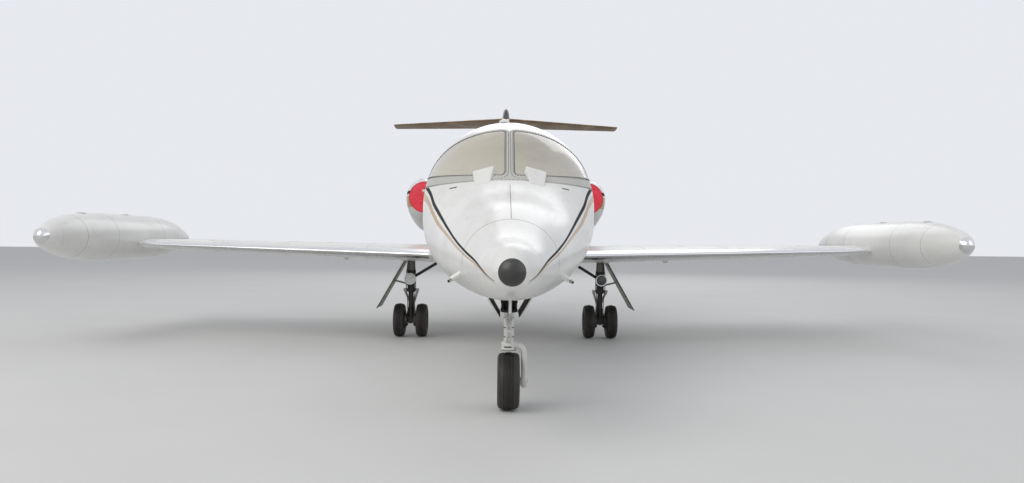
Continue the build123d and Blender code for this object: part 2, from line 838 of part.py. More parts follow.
# Wing: one ruled form from the centreline into the tank
with BuildPart() as wing_form:
    sections = []
    for x in (0, TANK_X):
        station, height, chord = wing_at(x, 0)
        sections.append(airfoil(side_plane(x, station, height), chord, WING_THICKNESS))
    loft(sections, ruled=True)


def hinge_ends(span, share, place):
    ends = []
    for x in span:
        station, height, chord = place(x, share)
        ends.append((x, y_at(station), height))
    return ends


def hinge_radii(span, share, place, thickness):
    return [NOSE_SHARE * half_depth(share, place(x, 0)[2], thickness) for x in span]


wing_zones = {}
for name, span in (("flap", FLAP_SPAN), ("aileron", AILERON_SPAN)):
    ends = hinge_ends(span, WING_HINGE, wing_at)
    radii = hinge_radii(span, WING_HINGE, wing_at, WING_THICKNESS)
    print("hinge", name, [[round(v, 1) for v in end] for end in ends])
    wing_zones[name] = (ends, radii)
    with BuildPart() as surface:
        add(wing_form.part)
        add(hinge_zone(ends, radii, 0), mode=Mode.INTERSECT)
        pin_holes(ends)
    write_pair(surface.part, name)


def spoiler_zone(grow, front, depth):
    """The upper skin between two chord shares, to a depth below the surface."""
    corners = []
    for x, share, aft in (
        (SPOILER_SPAN[0] - grow, SPOILER_CHORD[0], -front),
        (SPOILER_SPAN[1] + grow, SPOILER_CHORD[0], -front),
        (SPOILER_SPAN[1] + grow, SPOILER_CHORD[1], grow),
        (SPOILER_SPAN[0] - grow, SPOILER_CHORD[1], grow),
    ):
        corners.append((x, y_at(wing_at(x, share)[0]) + aft))
    with BuildPart() as zone:
        with BuildSketch(Plane.XY.offset(WING_ROOT_HEIGHT)):
            with BuildLine():
                Polyline(corners, close=True)
            make_face()
        extrude(amount=BIG / 10)
        add(wing_form.part, mode=Mode.INTERSECT)
        with Locations((0, 0, -depth)):
            add(wing_form.part, mode=Mode.SUBTRACT)
    return zone.part


for x in SPOILER_SPAN:
    station, height, chord = wing_at(x, SPOILER_CHORD[0])
    surface_height = height + half_depth(SPOILER_CHORD[0], chord, WING_THICKNESS)
    print("hinge spoiler", x, round(y_at(station), 1), round(surface_height, 1))
with BuildPart() as spoiler:
    add(spoiler_zone(0, 0, SPOILER_THICKNESS))
write_pair(spoiler.part, "spoiler")

with BuildPart() as wing:
    x, station, radius, height = JACK_PAD
    rod((x, y_at(station), height), (x, y_at(station), WING_ROOT_HEIGHT), radius)
    add(wing_form.part)
    add(hull.part, mode=Mode.SUBTRACT)
    add(tank_form.part, mode=Mode.SUBTRACT)
    for ends, radii in wing_zones.values():
        add(hinge_zone(ends, radii, HINGE_GAP), mode=Mode.SUBTRACT)
        hinge_pins(ends)
    add(spoiler_zone(GAP, SEAT_GAP, SPOILER_THICKNESS + GAP), mode=Mode.SUBTRACT)
write_pair(wing.part, "wing")

# Nacelles, engines, pipes, plugs and pylons
nacelle_axis = Axis((NACELLE_X, 0, NACELLE_HEIGHT), (0, 1, 0))


def cowl_rings(rows, wall):
    """The nacelle's sections, drawn in by a wall."""
    rings = []
    for station, half_width, up, down in rows:
        middle = (NACELLE_X, y_at(station), NACELLE_HEIGHT)
        rings.append(oval_ring(middle, half_width - wall, up - wall, down - wall))
    return rings


with BuildPart() as nacelle_form:
    loft(cowl_rings(NACELLE_SECTIONS, 0))


def duct(first, last, radius, mode=Mode.ADD):
    """A round length along the engine's axis, in the part that is being made."""
    rod((NACELLE_X, y_at(first), NACELLE_HEIGHT), (NACELLE_X, y_at(last), NACELLE_HEIGHT), radius, mode)


NACELLE_START = NACELLE_SECTIONS[0][0]
NACELLE_END = NACELLE_SECTIONS[-1][0]
with BuildPart() as nacelle:
    add(nacelle_form.part)
    loft(cowl_rings(NACELLE_SECTIONS[1:-1], COWL_WALL), mode=Mode.SUBTRACT)
    duct(NACELLE_SECTIONS[1][0], ENGINE_START, INLET_RADIUS + PIPE_WALL)
    duct(NACELLE_START, ENGINE_START, INLET_RADIUS, Mode.SUBTRACT)
    duct(ENGINE_END, NACELLE_END, PIPE_RADIUS, Mode.SUBTRACT)
    fillet(nacelle.faces().sort_by(Axis.Y)[0].edges(), LIP_ROUND)
write_pair(nacelle.part, "nacelle")

engine_front = y_at(ENGINE_START)
engine_back = y_at(ENGINE_END)
cone_tip = engine_back + CONE_LENGTH
with BuildPart() as engine_core:
    with BuildSketch(Plane.YZ.offset(NACELLE_X)):
        with BuildLine():
            Polyline(
                (cone_tip, NACELLE_HEIGHT + CONE_TIP_RADIUS), (cone_tip, NACELLE_HEIGHT),
                (engine_front, NACELLE_HEIGHT), (engine_front, NACELLE_HEIGHT + ENGINE_RADIUS),
                (engine_back, NACELLE_HEIGHT + ENGINE_RADIUS), (engine_back, NACELLE_HEIGHT + CONE_RADIUS),
            )
            TangentArc(
                (engine_back, NACELLE_HEIGHT + CONE_RADIUS), (cone_tip, NACELLE_HEIGHT + CONE_TIP_RADIUS),
                tangent=(1, 0),
            )
        make_face()
    revolve(axis=nacelle_axis)
write_twins(engine_core.part, "engine_cores")

with BuildPart() as jet_pipe:
    duct(ENGINE_END, PIPE_END, PIPE_RADIUS)
    duct(ENGINE_END, PIPE_END, PIPE_RADIUS - PIPE_WALL, Mode.SUBTRACT)
write_twins(jet_pipe.part, "jet_pipes")

with BuildPart() as inlet_plug:
    duct(NACELLE_START - PLUG_THICKNESS, NACELLE_START, PLUG_RADIUS)
    fillet(inlet_plug.faces().sort_by(Axis.Y)[0].edges(), LIP_ROUND)
    duct(NACELLE_START, NACELLE_START + PLUG_REACH, INLET_RADIUS - SEAT_GAP)
write_twins(inlet_plug.part, "inlet_plugs")

with BuildPart() as pylon:
    section = airfoil(side_plane(0, PYLON_LEAD, PYLON_HEIGHT), PYLON_CHORD, PYLON_THICKNESS)
    extrude(section, amount=NACELLE_X, dir=(1, 0, 0))
    add(hull.part, mode=Mode.SUBTRACT)
    add(nacelle_form.part, mode=Mode.SUBTRACT)
write_twins(pylon.part.solids().sort_by(Axis.X)[0], "pylons")

# Bullet, fin, rudder, tailplane and elevators
with BuildPart() as bullet:
    loft([
        oval_ring((0, y_at(station), BULLET_HEIGHT), half_width, half_height, half_height)
        for station, half_width, half_height in BULLET_SECTIONS
    ])
write(bullet.part, "bullet")

with BuildPart() as tail_half:
    sections = []
    for x in (0, TAIL_TIP_X):
        station, height, chord = tail_at(x, 0)
        sections.append(airfoil(side_plane(x, station, height), chord, TAIL_THICKNESS))
    loft(sections, ruled=True)

ends = hinge_ends(ELEVATOR_SPAN, ELEVATOR_HINGE, tail_at)
radii = hinge_radii(ELEVATOR_SPAN, ELEVATOR_HINGE, tail_at, TAIL_THICKNESS)
print("hinge elevator", [[round(v, 1) for v in end] for end in ends])
with BuildPart() as elevator:
    add(tail_half.part)
    add(hinge_zone(ends, radii, 0), mode=Mode.INTERSECT)
    pin_holes(ends)
write_pair(elevator.part, "elevator")

with BuildPart() as tail_side:
    add(tail_half.part)
    add(hinge_zone(ends, radii, HINGE_GAP), mode=Mode.SUBTRACT)
    hinge_pins(ends)

with BuildPart() as tailplane:
    add(tail_side.part)
    mirror(tail_side.part, about=Plane.YZ)
    add(bullet.part, mode=Mode.SUBTRACT)
write(tailplane.part, "tailplane")

with BuildPart() as fin_form:
    sections = []
    for height, lead, chord in (FIN_ROOT, FIN_TIP):
        sections.append(airfoil(level_plane(lead, height), chord, FIN_THICKNESS))
    loft(sections, ruled=True)

ends = []
radii = []
for height in RUDDER_HEIGHTS:
    station, chord = fin_at(height, RUDDER_HINGE)
    ends.append((0, y_at(station), height))
    radii.append(NOSE_SHARE * half_depth(RUDDER_HINGE, chord, FIN_THICKNESS))
print("hinge rudder", [[round(v, 1) for v in end] for end in ends])
with BuildPart() as rudder:
    add(fin_form.part)
    add(hinge_zone(ends, radii, 0), mode=Mode.INTERSECT)
    pin_holes(ends)
write(rudder.part, "rudder")

with BuildPart() as fin:
    add(fin_form.part)
    add(hinge_zone(ends, radii, HINGE_GAP), mode=Mode.SUBTRACT)
    hinge_pins(ends)
    for piece in (hull.part, bullet.part, tailplane.part):
        add(piece, mode=Mode.SUBTRACT)
write(fin.part, "fin")

# Nose gear: fixed leg and doors, then what steers, then the wheel
nose_y = y_at(NOSE_WHEEL_STATION)
with BuildPart() as nose_strut:
    rod((0, nose_y, NOSE_STRUT_END), (0, nose_y, NOSE_WELL_TOP), NOSE_STRUT_RADIUS)
    rod(
        (0, nose_y, NOSE_BRACE_START), (0, nose_y + NOSE_BRACE_LENGTH, NOSE_WELL_TOP - GAP), NOSE_BRACE_RADIUS
    )
    half_width, depth, length = NOSE_BEAM
    block((-half_width, nose_y, NOSE_WELL_TOP - depth), (half_width, nose_y + length, NOSE_WELL_TOP))
    add(nose_section.part, mode=Mode.SUBTRACT)
write(nose_strut.part, "nose_strut")

with BuildPart() as nose_gear_doors:
    for side in (1, -1):
        top = Vector(side * NOSE_DOOR_TOP_X, 0, BODY_SECTIONS[3][4] + NOSE_DOOR_RISE)
        low = Vector(side * NOSE_DOOR_BOTTOM_X, 0, NOSE_DOOR_BOTTOM)
        run = low - top
        middle = (top.X, y_at(NOSE_DOOR_START + NOSE_DOOR_LENGTH / 2), top.Z)
        plane = Plane(origin=middle, x_dir=(0, 1, 0), z_dir=run)
        with BuildSketch(plane) as outline:
            Rectangle(NOSE_DOOR_LENGTH, DOOR_PLATE)
        extrude(outline.sketch, amount=run.length, dir=run.normalized())
    add(hull.part, mode=Mode.SUBTRACT)
write(nose_gear_doors.part, "nose_gear_doors")

with BuildPart() as nose_fork:
    rod((0, nose_y, NOSE_COLLAR_BOTTOM), (0, nose_y, NOSE_STRUT_END - SEAT_GAP), NOSE_TUBE_RADIUS)
    rod((0, nose_y, NOSE_COLLAR_BOTTOM), (0, nose_y, NOSE_COLLAR_TOP), NOSE_COLLAR_RADIUS)
    with BuildSketch(Plane.XZ.offset(-nose_y)) as arm:
        with BuildLine():
            Polyline(
                (-NOSE_COLLAR_RADIUS, NOSE_COLLAR_TOP), (NOSE_COLLAR_RADIUS, NOSE_COLLAR_TOP),
                (FORK_ARM_OUTSIDE, NOSE_COLLAR_BOTTOM - FORK_SLOPE),
                (FORK_ARM_OUTSIDE, AXLE_HEIGHT - FORK_ARM_DROP),
                (FORK_ARM_INSIDE, AXLE_HEIGHT - FORK_ARM_DROP),
                (FORK_ARM_INSIDE, NOSE_COLLAR_BOTTOM - FORK_SLOPE),
                (FORK_ARM_INSIDE - FORK_SLOPE, NOSE_COLLAR_BOTTOM),
                (-NOSE_COLLAR_RADIUS, NOSE_COLLAR_BOTTOM), close=True,
            )
        make_face()
    extrude(arm.sketch, amount=FORK_ARM_DEPTH / 2, both=True)
    fillet(nose_fork.edges().filter_by(Axis.Y).group_by(Axis.X)[-1], FORK_ARM_ROUND)
    rod((FORK_ARM_INSIDE, nose_y, AXLE_HEIGHT), (-NOSE_TYRE[0] - AXLE_CAP, nose_y, AXLE_HEIGHT), AXLE_RADIUS)
    rod((FORK_ARM_OUTSIDE, nose_y, AXLE_HEIGHT), (-BIG, nose_y, AXLE_HEIGHT), TOW_BORE, Mode.SUBTRACT)
    link_top, link_knee, link_foot = NOSE_LINKS
    knee = (0, nose_y - LINK_REACH, link_knee)
    rod((0, nose_y - NOSE_LINK_INSET, link_top), knee, NOSE_LINK_RADIUS)
    rod(knee, (0, nose_y - NOSE_LINK_INSET, link_foot), NOSE_LINK_RADIUS)
write(nose_fork.part, "nose_fork")

nose_hub = (0, nose_y, AXLE_HEIGHT)
write(tyre(nose_hub, NOSE_TYRE), "nose_tyre")
write(rim(nose_hub, NOSE_TYRE[0]), "nose_rim")

# Main gear
main_y = y_at(MAIN_STATION)
with BuildPart() as main_strut:
    rod((MAIN_X, main_y, MAIN_CYLINDER_END), (MAIN_X, main_y, MAIN_STRUT_TOP), MAIN_CYLINDER_RADIUS)
    rod((MAIN_X, main_y, AXLE_HEIGHT), (MAIN_X, main_y, MAIN_CYLINDER_END), MAIN_PISTON_RADIUS)
    rod((BRACE_LOW[0], main_y, BRACE_LOW[1]), (BRACE_HIGH[0], main_y, BRACE_HIGH[1]), BRACE_RADIUS)
    end = WHEEL_OFFSET + MAIN_TYRE[0] + AXLE_CAP
    rod((MAIN_X - end, main_y, AXLE_HEIGHT), (MAIN_X + end, main_y, AXLE_HEIGHT), AXLE_RADIUS)
    boss = Vector(0, MAIN_PISTON_RADIUS, 0)
    hub = Vector(MAIN_X, main_y, AXLE_HEIGHT)
    rod(hub - boss, hub + boss, AXLE_BOSS_RADIUS)
    for side in (-1, 1):
        near, far = (MAIN_X + side * reach for reach in BRAKE_SPAN)
        rod((near, main_y, AXLE_HEIGHT), (far, main_y, AXLE_HEIGHT), BRAKE_RADIUS)
    link_top, link_knee, link_foot = LINK_HEIGHTS
    knee = (MAIN_X, main_y + LINK_REACH, link_knee)
    for height in (link_top, link_foot):
        rod((MAIN_X, main_y + LINK_ROOT, height), knee, LINK_RADIUS)
    lamp_back = (MAIN_X, y_at(LAMP_STATION + LAMP_DEPTH), LAMP_HEIGHT)
    rod((MAIN_X, main_y, LAMP_HEIGHT), lamp_back, LAMP_ARM_RADIUS)
    add(wing_form.part, mode=Mode.SUBTRACT)
write_pair(main_strut.part, "main_strut")

with BuildPart() as landing_lamp:
    lens = Vector(MAIN_X, y_at(LAMP_STATION), LAMP_HEIGHT)
    rod(lens, lens + Vector(0, LAMP_DEPTH, 0), LAMP_RADIUS)
    fillet(landing_lamp.faces().sort_by(Axis.Y)[-1].edges(), LAMP_ROUND)
write_twins(landing_lamp.part, "landing_lamps")

with BuildPart() as main_door:
    top = Vector(MAIN_DOOR_TOP[0], main_y, MAIN_DOOR_TOP[1] + MAIN_DOOR_RISE)
    low = Vector(MAIN_DOOR_BOTTOM[0], main_y, MAIN_DOOR_BOTTOM[1])
    run = low - top
    with BuildSketch(Plane(origin=top, x_dir=(0, 1, 0), z_dir=run)) as outline:
        Rectangle(MAIN_DOOR_LENGTH, DOOR_PLATE)
    extrude(outline.sketch, amount=run.length, dir=run.normalized())
    link_root = (MAIN_X + MAIN_CYLINDER_RADIUS - DOOR_LINK_SINK, main_y, DOOR_LINK_HEIGHT)
    rod(link_root, top + run * DOOR_LINK_SHARE, DOOR_LINK_RADIUS)
    add(main_strut.part, mode=Mode.SUBTRACT)
    add(wing_form.part, mode=Mode.SUBTRACT)
write_twins(main_door.part, "main_gear_doors")

with BuildPart() as main_tyres:
    for side in (-1, 1):
        add(tyre((MAIN_X + side * WHEEL_OFFSET, main_y, AXLE_HEIGHT), MAIN_TYRE))
write_pair(main_tyres.part, "main_tyres")

with BuildPart() as main_rims:
    for side in (-1, 1):
        add(rim((MAIN_X + side * WHEEL_OFFSET, main_y, AXLE_HEIGHT), MAIN_TYRE[0]))
write_pair(main_rims.part, "main_rims")

# Probes, blades and windshield air outlets
with BuildPart() as pitot_mast:
    root = (PITOT_ROOT[0], y_at(PITOT_STATION), PITOT_ROOT[1])
    end = (PITOT_END[0], y_at(PITOT_STATION), PITOT_END[1])
    rod(root, end, PITOT_MAST_RADIUS)
    rod((end[0], end[1] + PITOT_TAIL, end[2]), (end[0], end[1] - PITOT_LENGTH, end[2]), PITOT_RADIUS)
    add(hull.part, mode=Mode.SUBTRACT)
write_twins(pitot_mast.part, "pitot_masts")

with BuildPart() as belly_blades:
    for station in BLADE_STATIONS:
        bottom = BODY_SECTIONS[2][4] if station < NOSE_END else BODY_SECTIONS[7][4]
        with BuildSketch(level_plane(station, bottom - BLADE_DROP)) as section:
            Ellipse(BLADE_CHORD / 2, BLADE_THICKNESS / 2)
        extrude(section.sketch, amount=BLADE_DROP + BLADE_ROOT, dir=(0, 0, 1))
    add(hull.part, mode=Mode.SUBTRACT)
write(belly_blades.part, "belly_blades")

with BuildPart() as windshield_duct:
    roll = radians(DUCT_ROLL)
    outer = []
    mouth = []
    for station, x, height, width, depth in DUCT_SECTIONS:
        plane = Plane(origin=(x, y_at(station), height), x_dir=(cos(roll), 0, -sin(roll)), z_dir=(0, -1, 0))
        with BuildSketch(plane) as section:
            RectangleRounded(width, depth, DUCT_ROUND)
        outer.append(section.sketch)
        back = Plane(origin=plane.origin + Vector(0, DUCT_WALL, 0), x_dir=plane.x_dir, z_dir=plane.z_dir)
        with BuildSketch(back) as section:
            RectangleRounded(width - 2 * DUCT_WALL, depth - 2 * DUCT_WALL, DUCT_ROUND - DUCT_WALL)
        mouth.append(section.sketch)
    loft(outer, ruled=True)
    loft(mouth, ruled=True, mode=Mode.SUBTRACT)
    add(hull.part, mode=Mode.SUBTRACT)
write_twins(windshield_duct.part, "windshield_ducts")
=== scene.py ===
"""The looks of a parked light twin-jet business aircraft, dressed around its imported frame."""

import json
import logging
from dataclasses import dataclass, field
from enum import Enum
from functools import cache
from math import acos, asin, copysign, cos, hypot, pi, radians, sin
from typing import Callable, Iterable, Sequence

import bmesh
import bpy
from mathutils import Matrix, Vector
from mathutils.bvhtree import BVHTree

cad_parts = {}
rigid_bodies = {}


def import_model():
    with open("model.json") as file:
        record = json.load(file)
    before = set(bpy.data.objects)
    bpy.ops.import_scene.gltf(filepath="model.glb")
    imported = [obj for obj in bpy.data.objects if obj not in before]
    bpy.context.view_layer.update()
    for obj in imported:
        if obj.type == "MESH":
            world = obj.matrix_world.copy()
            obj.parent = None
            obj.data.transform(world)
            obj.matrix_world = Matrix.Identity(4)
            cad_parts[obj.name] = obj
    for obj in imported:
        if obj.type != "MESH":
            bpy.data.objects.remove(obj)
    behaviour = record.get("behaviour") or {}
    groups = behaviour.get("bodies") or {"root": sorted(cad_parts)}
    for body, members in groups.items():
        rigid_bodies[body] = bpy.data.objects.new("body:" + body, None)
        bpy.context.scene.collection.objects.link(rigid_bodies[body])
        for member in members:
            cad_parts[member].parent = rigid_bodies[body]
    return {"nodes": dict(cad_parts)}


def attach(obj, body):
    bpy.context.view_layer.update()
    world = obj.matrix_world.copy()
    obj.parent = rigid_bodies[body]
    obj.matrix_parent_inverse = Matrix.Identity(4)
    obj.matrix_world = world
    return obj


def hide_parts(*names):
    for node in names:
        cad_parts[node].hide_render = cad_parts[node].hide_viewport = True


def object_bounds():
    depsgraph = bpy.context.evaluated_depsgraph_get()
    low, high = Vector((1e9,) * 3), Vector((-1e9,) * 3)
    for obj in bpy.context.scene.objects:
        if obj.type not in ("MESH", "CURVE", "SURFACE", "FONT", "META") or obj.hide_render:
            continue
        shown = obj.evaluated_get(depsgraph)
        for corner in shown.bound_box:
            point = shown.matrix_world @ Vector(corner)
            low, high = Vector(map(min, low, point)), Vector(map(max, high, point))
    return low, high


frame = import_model()
CAD_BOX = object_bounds()
NOSE_TIP = CAD_BOX[0][1]
LOG = logging.getLogger("aircraft")

Point = Sequence[float]
Colour = tuple[float, float, float]
Socket = bpy.types.NodeSocket
Hit = tuple[Vector, Vector]
FLUSH_HEAD = (0.0024, 0.0004)


def at(station: float) -> float:
    """The row frame's y of a station, which is a distance aft of the nose tip."""
    return NOSE_TIP + station


class Side(Enum):
    """The aircraft's own left and right, by the sign of x."""

    LEFT = 1
    RIGHT = -1

    @property
    def word(self) -> str:
        """The side's name, as the frame's nodes end with it."""
        return self.name.lower()

    def cross(self, vector: Vector) -> Vector:
        """A vector of the left side, as it is on this side."""
        return Vector((self.value * vector.x, vector.y, vector.z))


class Body(Enum):
    """The frame's bodies that carry pieces."""

    AIRFRAME = "airframe"
    NOSE_STEER = "nose_steer"
    NOSE_WHEEL = "nose_wheel"
    WHEELS_LEFT = "main_wheels_left"
    WHEELS_RIGHT = "main_wheels_right"
    DOOR_UPPER = "door_upper"
    DOOR_LOWER = "door_lower"


class Graph:
    """Adds nodes and links to one node tree."""

    def __init__(self, tree: bpy.types.NodeTree) -> None:
        """Keep the tree that is being built."""
        self.tree = tree

    def put(self, socket: Socket, value: object) -> None:
        """Link an input to the socket that feeds it, or set its value."""
        if isinstance(value, bpy.types.NodeSocket):
            self.tree.links.new(value, socket)
        else:
            socket.default_value = value

    def add(self, kind: str, sockets: dict | None = None, **settings: object) -> bpy.types.Node:
        """Add one node.

        Args:
            kind: The node's type name.
            sockets: Input name or index to a value, or to the socket that feeds it.
            **settings: The node's own properties.

        Returns:
            The new node.
        """
        node = self.tree.nodes.new(kind)
        for key, value in settings.items():
            setattr(node, key, value)
        for key, value in (sockets or {}).items():
            self.put(node.inputs[key], value)
        return node

    def feed(self, node: bpy.types.Node, **values: object) -> bpy.types.Node:
        """Set or link a node's inputs, named with underscores for spaces, and return the node."""
        for key, value in values.items():
            self.put(node.inputs[key.replace("_", " ")], value)
        return node

    def group(self, tree: bpy.types.NodeTree, **sockets: object) -> bpy.types.NodeOutputs:
        """Place a node group, with its inputs fed, and return its outputs."""
        return self.feed(self.add("ShaderNodeGroup", node_tree=tree), **sockets).outputs

    def math(self, operation: str, *values: float | Socket, clamp: bool = False) -> Socket:
        """A Math node's result for one to three values or sockets."""
        return self.add("ShaderNodeMath", dict(enumerate(values)), operation=operation, use_clamp=clamp).outputs[0]

    def blend(self, factor: float | Socket, low: Colour | Socket, high: Colour | Socket) -> Socket:
        """The colour between two colours or sockets at a factor."""
        return self.add("ShaderNodeMix", {0: factor, 6: rgba(low), 7: rgba(high)}, data_type="RGBA").outputs[2]

    def ramp(self, value: Socket, low: float, high: float, start: float = 0.0, end: float = 1.0) -> Socket:
        """A value mapped smoothly from low..high to start..end."""
        sockets = {0: value, 1: low, 2: high, 3: start, 4: end}
        return self.add("ShaderNodeMapRange", sockets, interpolation_type="SMOOTHSTEP").outputs[0]

    def noise(self, vector: Socket, scale: float, detail: float = 3.0, rough: float = 0.5) -> Socket:
        """A noise texture's value."""
        sockets = {"Vector": vector, "Scale": scale, "Detail": detail, "Roughness": rough}
        return self.add("ShaderNodeTexNoise", sockets).outputs[0]

    def stretch(self, vector: Socket, scale: Point) -> Socket:
        """A vector scaled by a Mapping node."""
        return self.add("ShaderNodeMapping", {"Vector": vector, "Scale": scale}).outputs[0]

    def split(self, vector: Socket) -> tuple[Socket, ...]:
        """A vector's x, y and z."""
        return tuple(self.add("ShaderNodeSeparateXYZ", {0: vector}).outputs)

    def bump(self, shader: bpy.types.Node, height: Socket, depth: float) -> None:
        """Feed a shader's normal from a height, at a depth in metres."""
        node = self.add("ShaderNodeBump", {"Height": height, "Distance": depth, "Strength": 0.8})
        self.put(shader.inputs["Normal"], node.outputs[0])


def rgba(value: Colour | Socket) -> tuple[float, ...] | Socket:
    """A colour with its alpha, or the socket as it is."""
    return value if isinstance(value, bpy.types.NodeSocket) else (*value, 1.0)


class Group(Graph):
    """A node group that is being built, with its inputs in given."""

    def __init__(self, name: str, outputs: str, kind: str = "Shader", **inputs: float | str) -> None:
        """Start the group.

        Args:
            name: The group's name.
            outputs: The names of its outputs.
            kind: Shader, where the outputs are values, or Geometry.
            **inputs: Each input's default, or its kind where it has none, with underscores for spaces.
        """
        super().__init__(bpy.data.node_groups.new(name, f"{kind}NodeTree"))
        for key, value in inputs.items():
            typed = value if isinstance(value, str) else type(value).__name__.capitalize()
            socket = self.tree.interface.new_socket(
                name=key.replace("_", " "), in_out="INPUT", socket_type=f"NodeSocket{typed}")
            if typed != value:
                socket.default_value = value
        made = "Float" if kind == "Shader" else kind
        for key in outputs.split():
            self.tree.interface.new_socket(name=key, in_out="OUTPUT", socket_type=f"NodeSocket{made}")
        self.given = self.add("NodeGroupInput").outputs
        self.end = self.add("NodeGroupOutput")

    def give(self, **values: Socket) -> bpy.types.NodeTree:
        """Link the group's outputs, and return its tree."""
        self.feed(self.end, **values)
        return self.tree

    def real(self, copies: Socket) -> bpy.types.NodeTree:
        """End a Geometry Nodes group with its copies made real, in their finish, and return its tree."""
        real = self.add("GeometryNodeRealizeInstances", {0: copies}).outputs[0]
        done = self.add("GeometryNodeSetMaterial", {0: real, "Material": self.given["Finish"]})
        return self.give(Geometry=done.outputs[0])

    def scaled(self) -> Socket:
        """The group's vector times its scale."""
        sockets = {0: self.given["Vector"], "Scale": self.given["Scale"]}
        return self.add("ShaderNodeVectorMath", sockets, operation="SCALE").outputs[0]


@cache
def weather_tree() -> bpy.types.NodeTree:
    """Grime, streaks and chips of paint that stands outdoors."""
    g = Group("weather", "Grime Tone Speck Height", Vector="Vector", Streaks=0.5, Specks=0.5, Scale=1.0)
    place = g.scaled()
    tone = g.noise(place, 0.9, 4.0, 0.6)
    runs = g.noise(g.stretch(place, (9.0, 9.0, 0.9)), 1.6, 5.0, 0.62)
    flow = g.noise(g.stretch(place, (7.0, 0.7, 7.0)), 1.5, 5.0, 0.6)
    runs = g.ramp(g.math("MAXIMUM", runs, flow), 0.52, 0.80)
    grime = g.math("MULTIPLY", runs, g.given["Streaks"], clamp=True)
    cells = g.add("ShaderNodeTexVoronoi", {"Vector": place, "Scale": 26.0}).outputs["Distance"]
    pick = g.ramp(g.noise(place, 7.0, 2.0), 0.56, 0.62)
    speck = g.math("MULTIPLY", g.ramp(cells, 0.05, 0.11, 1.0, 0.0), pick)
    speck = g.math("MULTIPLY", speck, g.given["Specks"], clamp=True)
    peel = g.noise(place, 240.0, 2.0)
    waves = g.noise(place, 2.4, 1.0)
    height = g.math("MULTIPLY_ADD", peel, 0.03, g.math("MULTIPLY", waves, 1.0))
    height = g.math("SUBTRACT", height, g.math("MULTIPLY", speck, 0.3))
    return g.give(Grime=grime, Tone=tone, Speck=speck, Height=height)


@cache
def scuff_tree() -> bpy.types.NodeTree:
    """Fine scratches and worn patches of bare metal."""
    g = Group("scuffs", "Wear Height", Vector="Vector", Amount=0.5, Scale=1.0)
    place = g.scaled()
    lines = g.noise(g.stretch(place, (4.0, 90.0, 90.0)), 3.0, 4.0, 0.65)
    cross = g.noise(g.stretch(place, (80.0, 6.0, 40.0)), 3.0, 4.0, 0.65)
    patch = g.noise(place, 5.0, 5.0, 0.65)
    wear = g.math("MULTIPLY_ADD", g.math("ADD", lines, cross), 0.35, g.math("MULTIPLY", patch, 0.55))
    wear = g.math("MULTIPLY", g.ramp(wear, 0.42, 0.75), g.given["Amount"], clamp=True)
    return g.give(Wear=wear, Height=g.math("MULTIPLY", g.math("ADD", lines, cross), 0.5))


@cache
def dust_tree() -> bpy.types.NodeTree:
    """Pale dust and dried mud, thicker near the ground."""
    g = Group("dust", "Dust", Vector="Vector", Top=0.5, Amount=0.5)
    _, _, z = g.split(g.given["Vector"])
    low = g.math("SUBTRACT", 1.0, g.math("DIVIDE", z, g.given["Top"]), clamp=True)
    patch = g.noise(g.given["Vector"], 14.0, 5.0, 0.65)
    dust = g.ramp(g.math("MULTIPLY_ADD", low, 0.35, patch), 0.45, 0.95)
    return g.give(Dust=g.math("MULTIPLY", dust, g.given["Amount"]))


@cache
def weave_tree() -> bpy.types.NodeTree:
    """The threads of a coarse cloth, from crossed waves."""
    g = Group("weave", "Thread", Vector="Vector", Threads=400.0)
    waves = []
    for axis in g.split(g.given["Vector"]):
        waves.append(g.math("ABSOLUTE", g.math("SINE", g.math("MULTIPLY", axis, g.given["Threads"]))))
    return g.give(Thread=g.math("MULTIPLY", g.math("MAXIMUM", waves[0], waves[1]), waves[2]))


@cache
def livery_tree() -> bpy.types.NodeTree:
    """A black and a gold band that sweep up from the nose and run aft along both sides."""
    g = Group("livery", "Black Gold", Vector="Vector")
    _, y, z = g.split(g.given["Vector"])
    share = g.math("DIVIDE", g.math("SUBTRACT", y, NOSE_TIP), REACH)
    masks = {}
    for name, rows in (("Black", Livery.BLACK), ("Gold", Livery.GOLD)):
        low, high = (height_curve(g, share, rows, column) for column in (1, 2))
        over = g.ramp(g.math("SUBTRACT", z, low), -Livery.EDGE, Livery.EDGE)
        under = g.ramp(g.math("SUBTRACT", high, z), -Livery.EDGE, Livery.EDGE)
        begun = g.ramp(y, at(rows[0][0]) - Livery.EDGE, at(rows[0][0]) + Livery.EDGE)
        masks[name] = g.math("MULTIPLY", g.math("MULTIPLY", over, under), begun)
    return g.give(**masks)


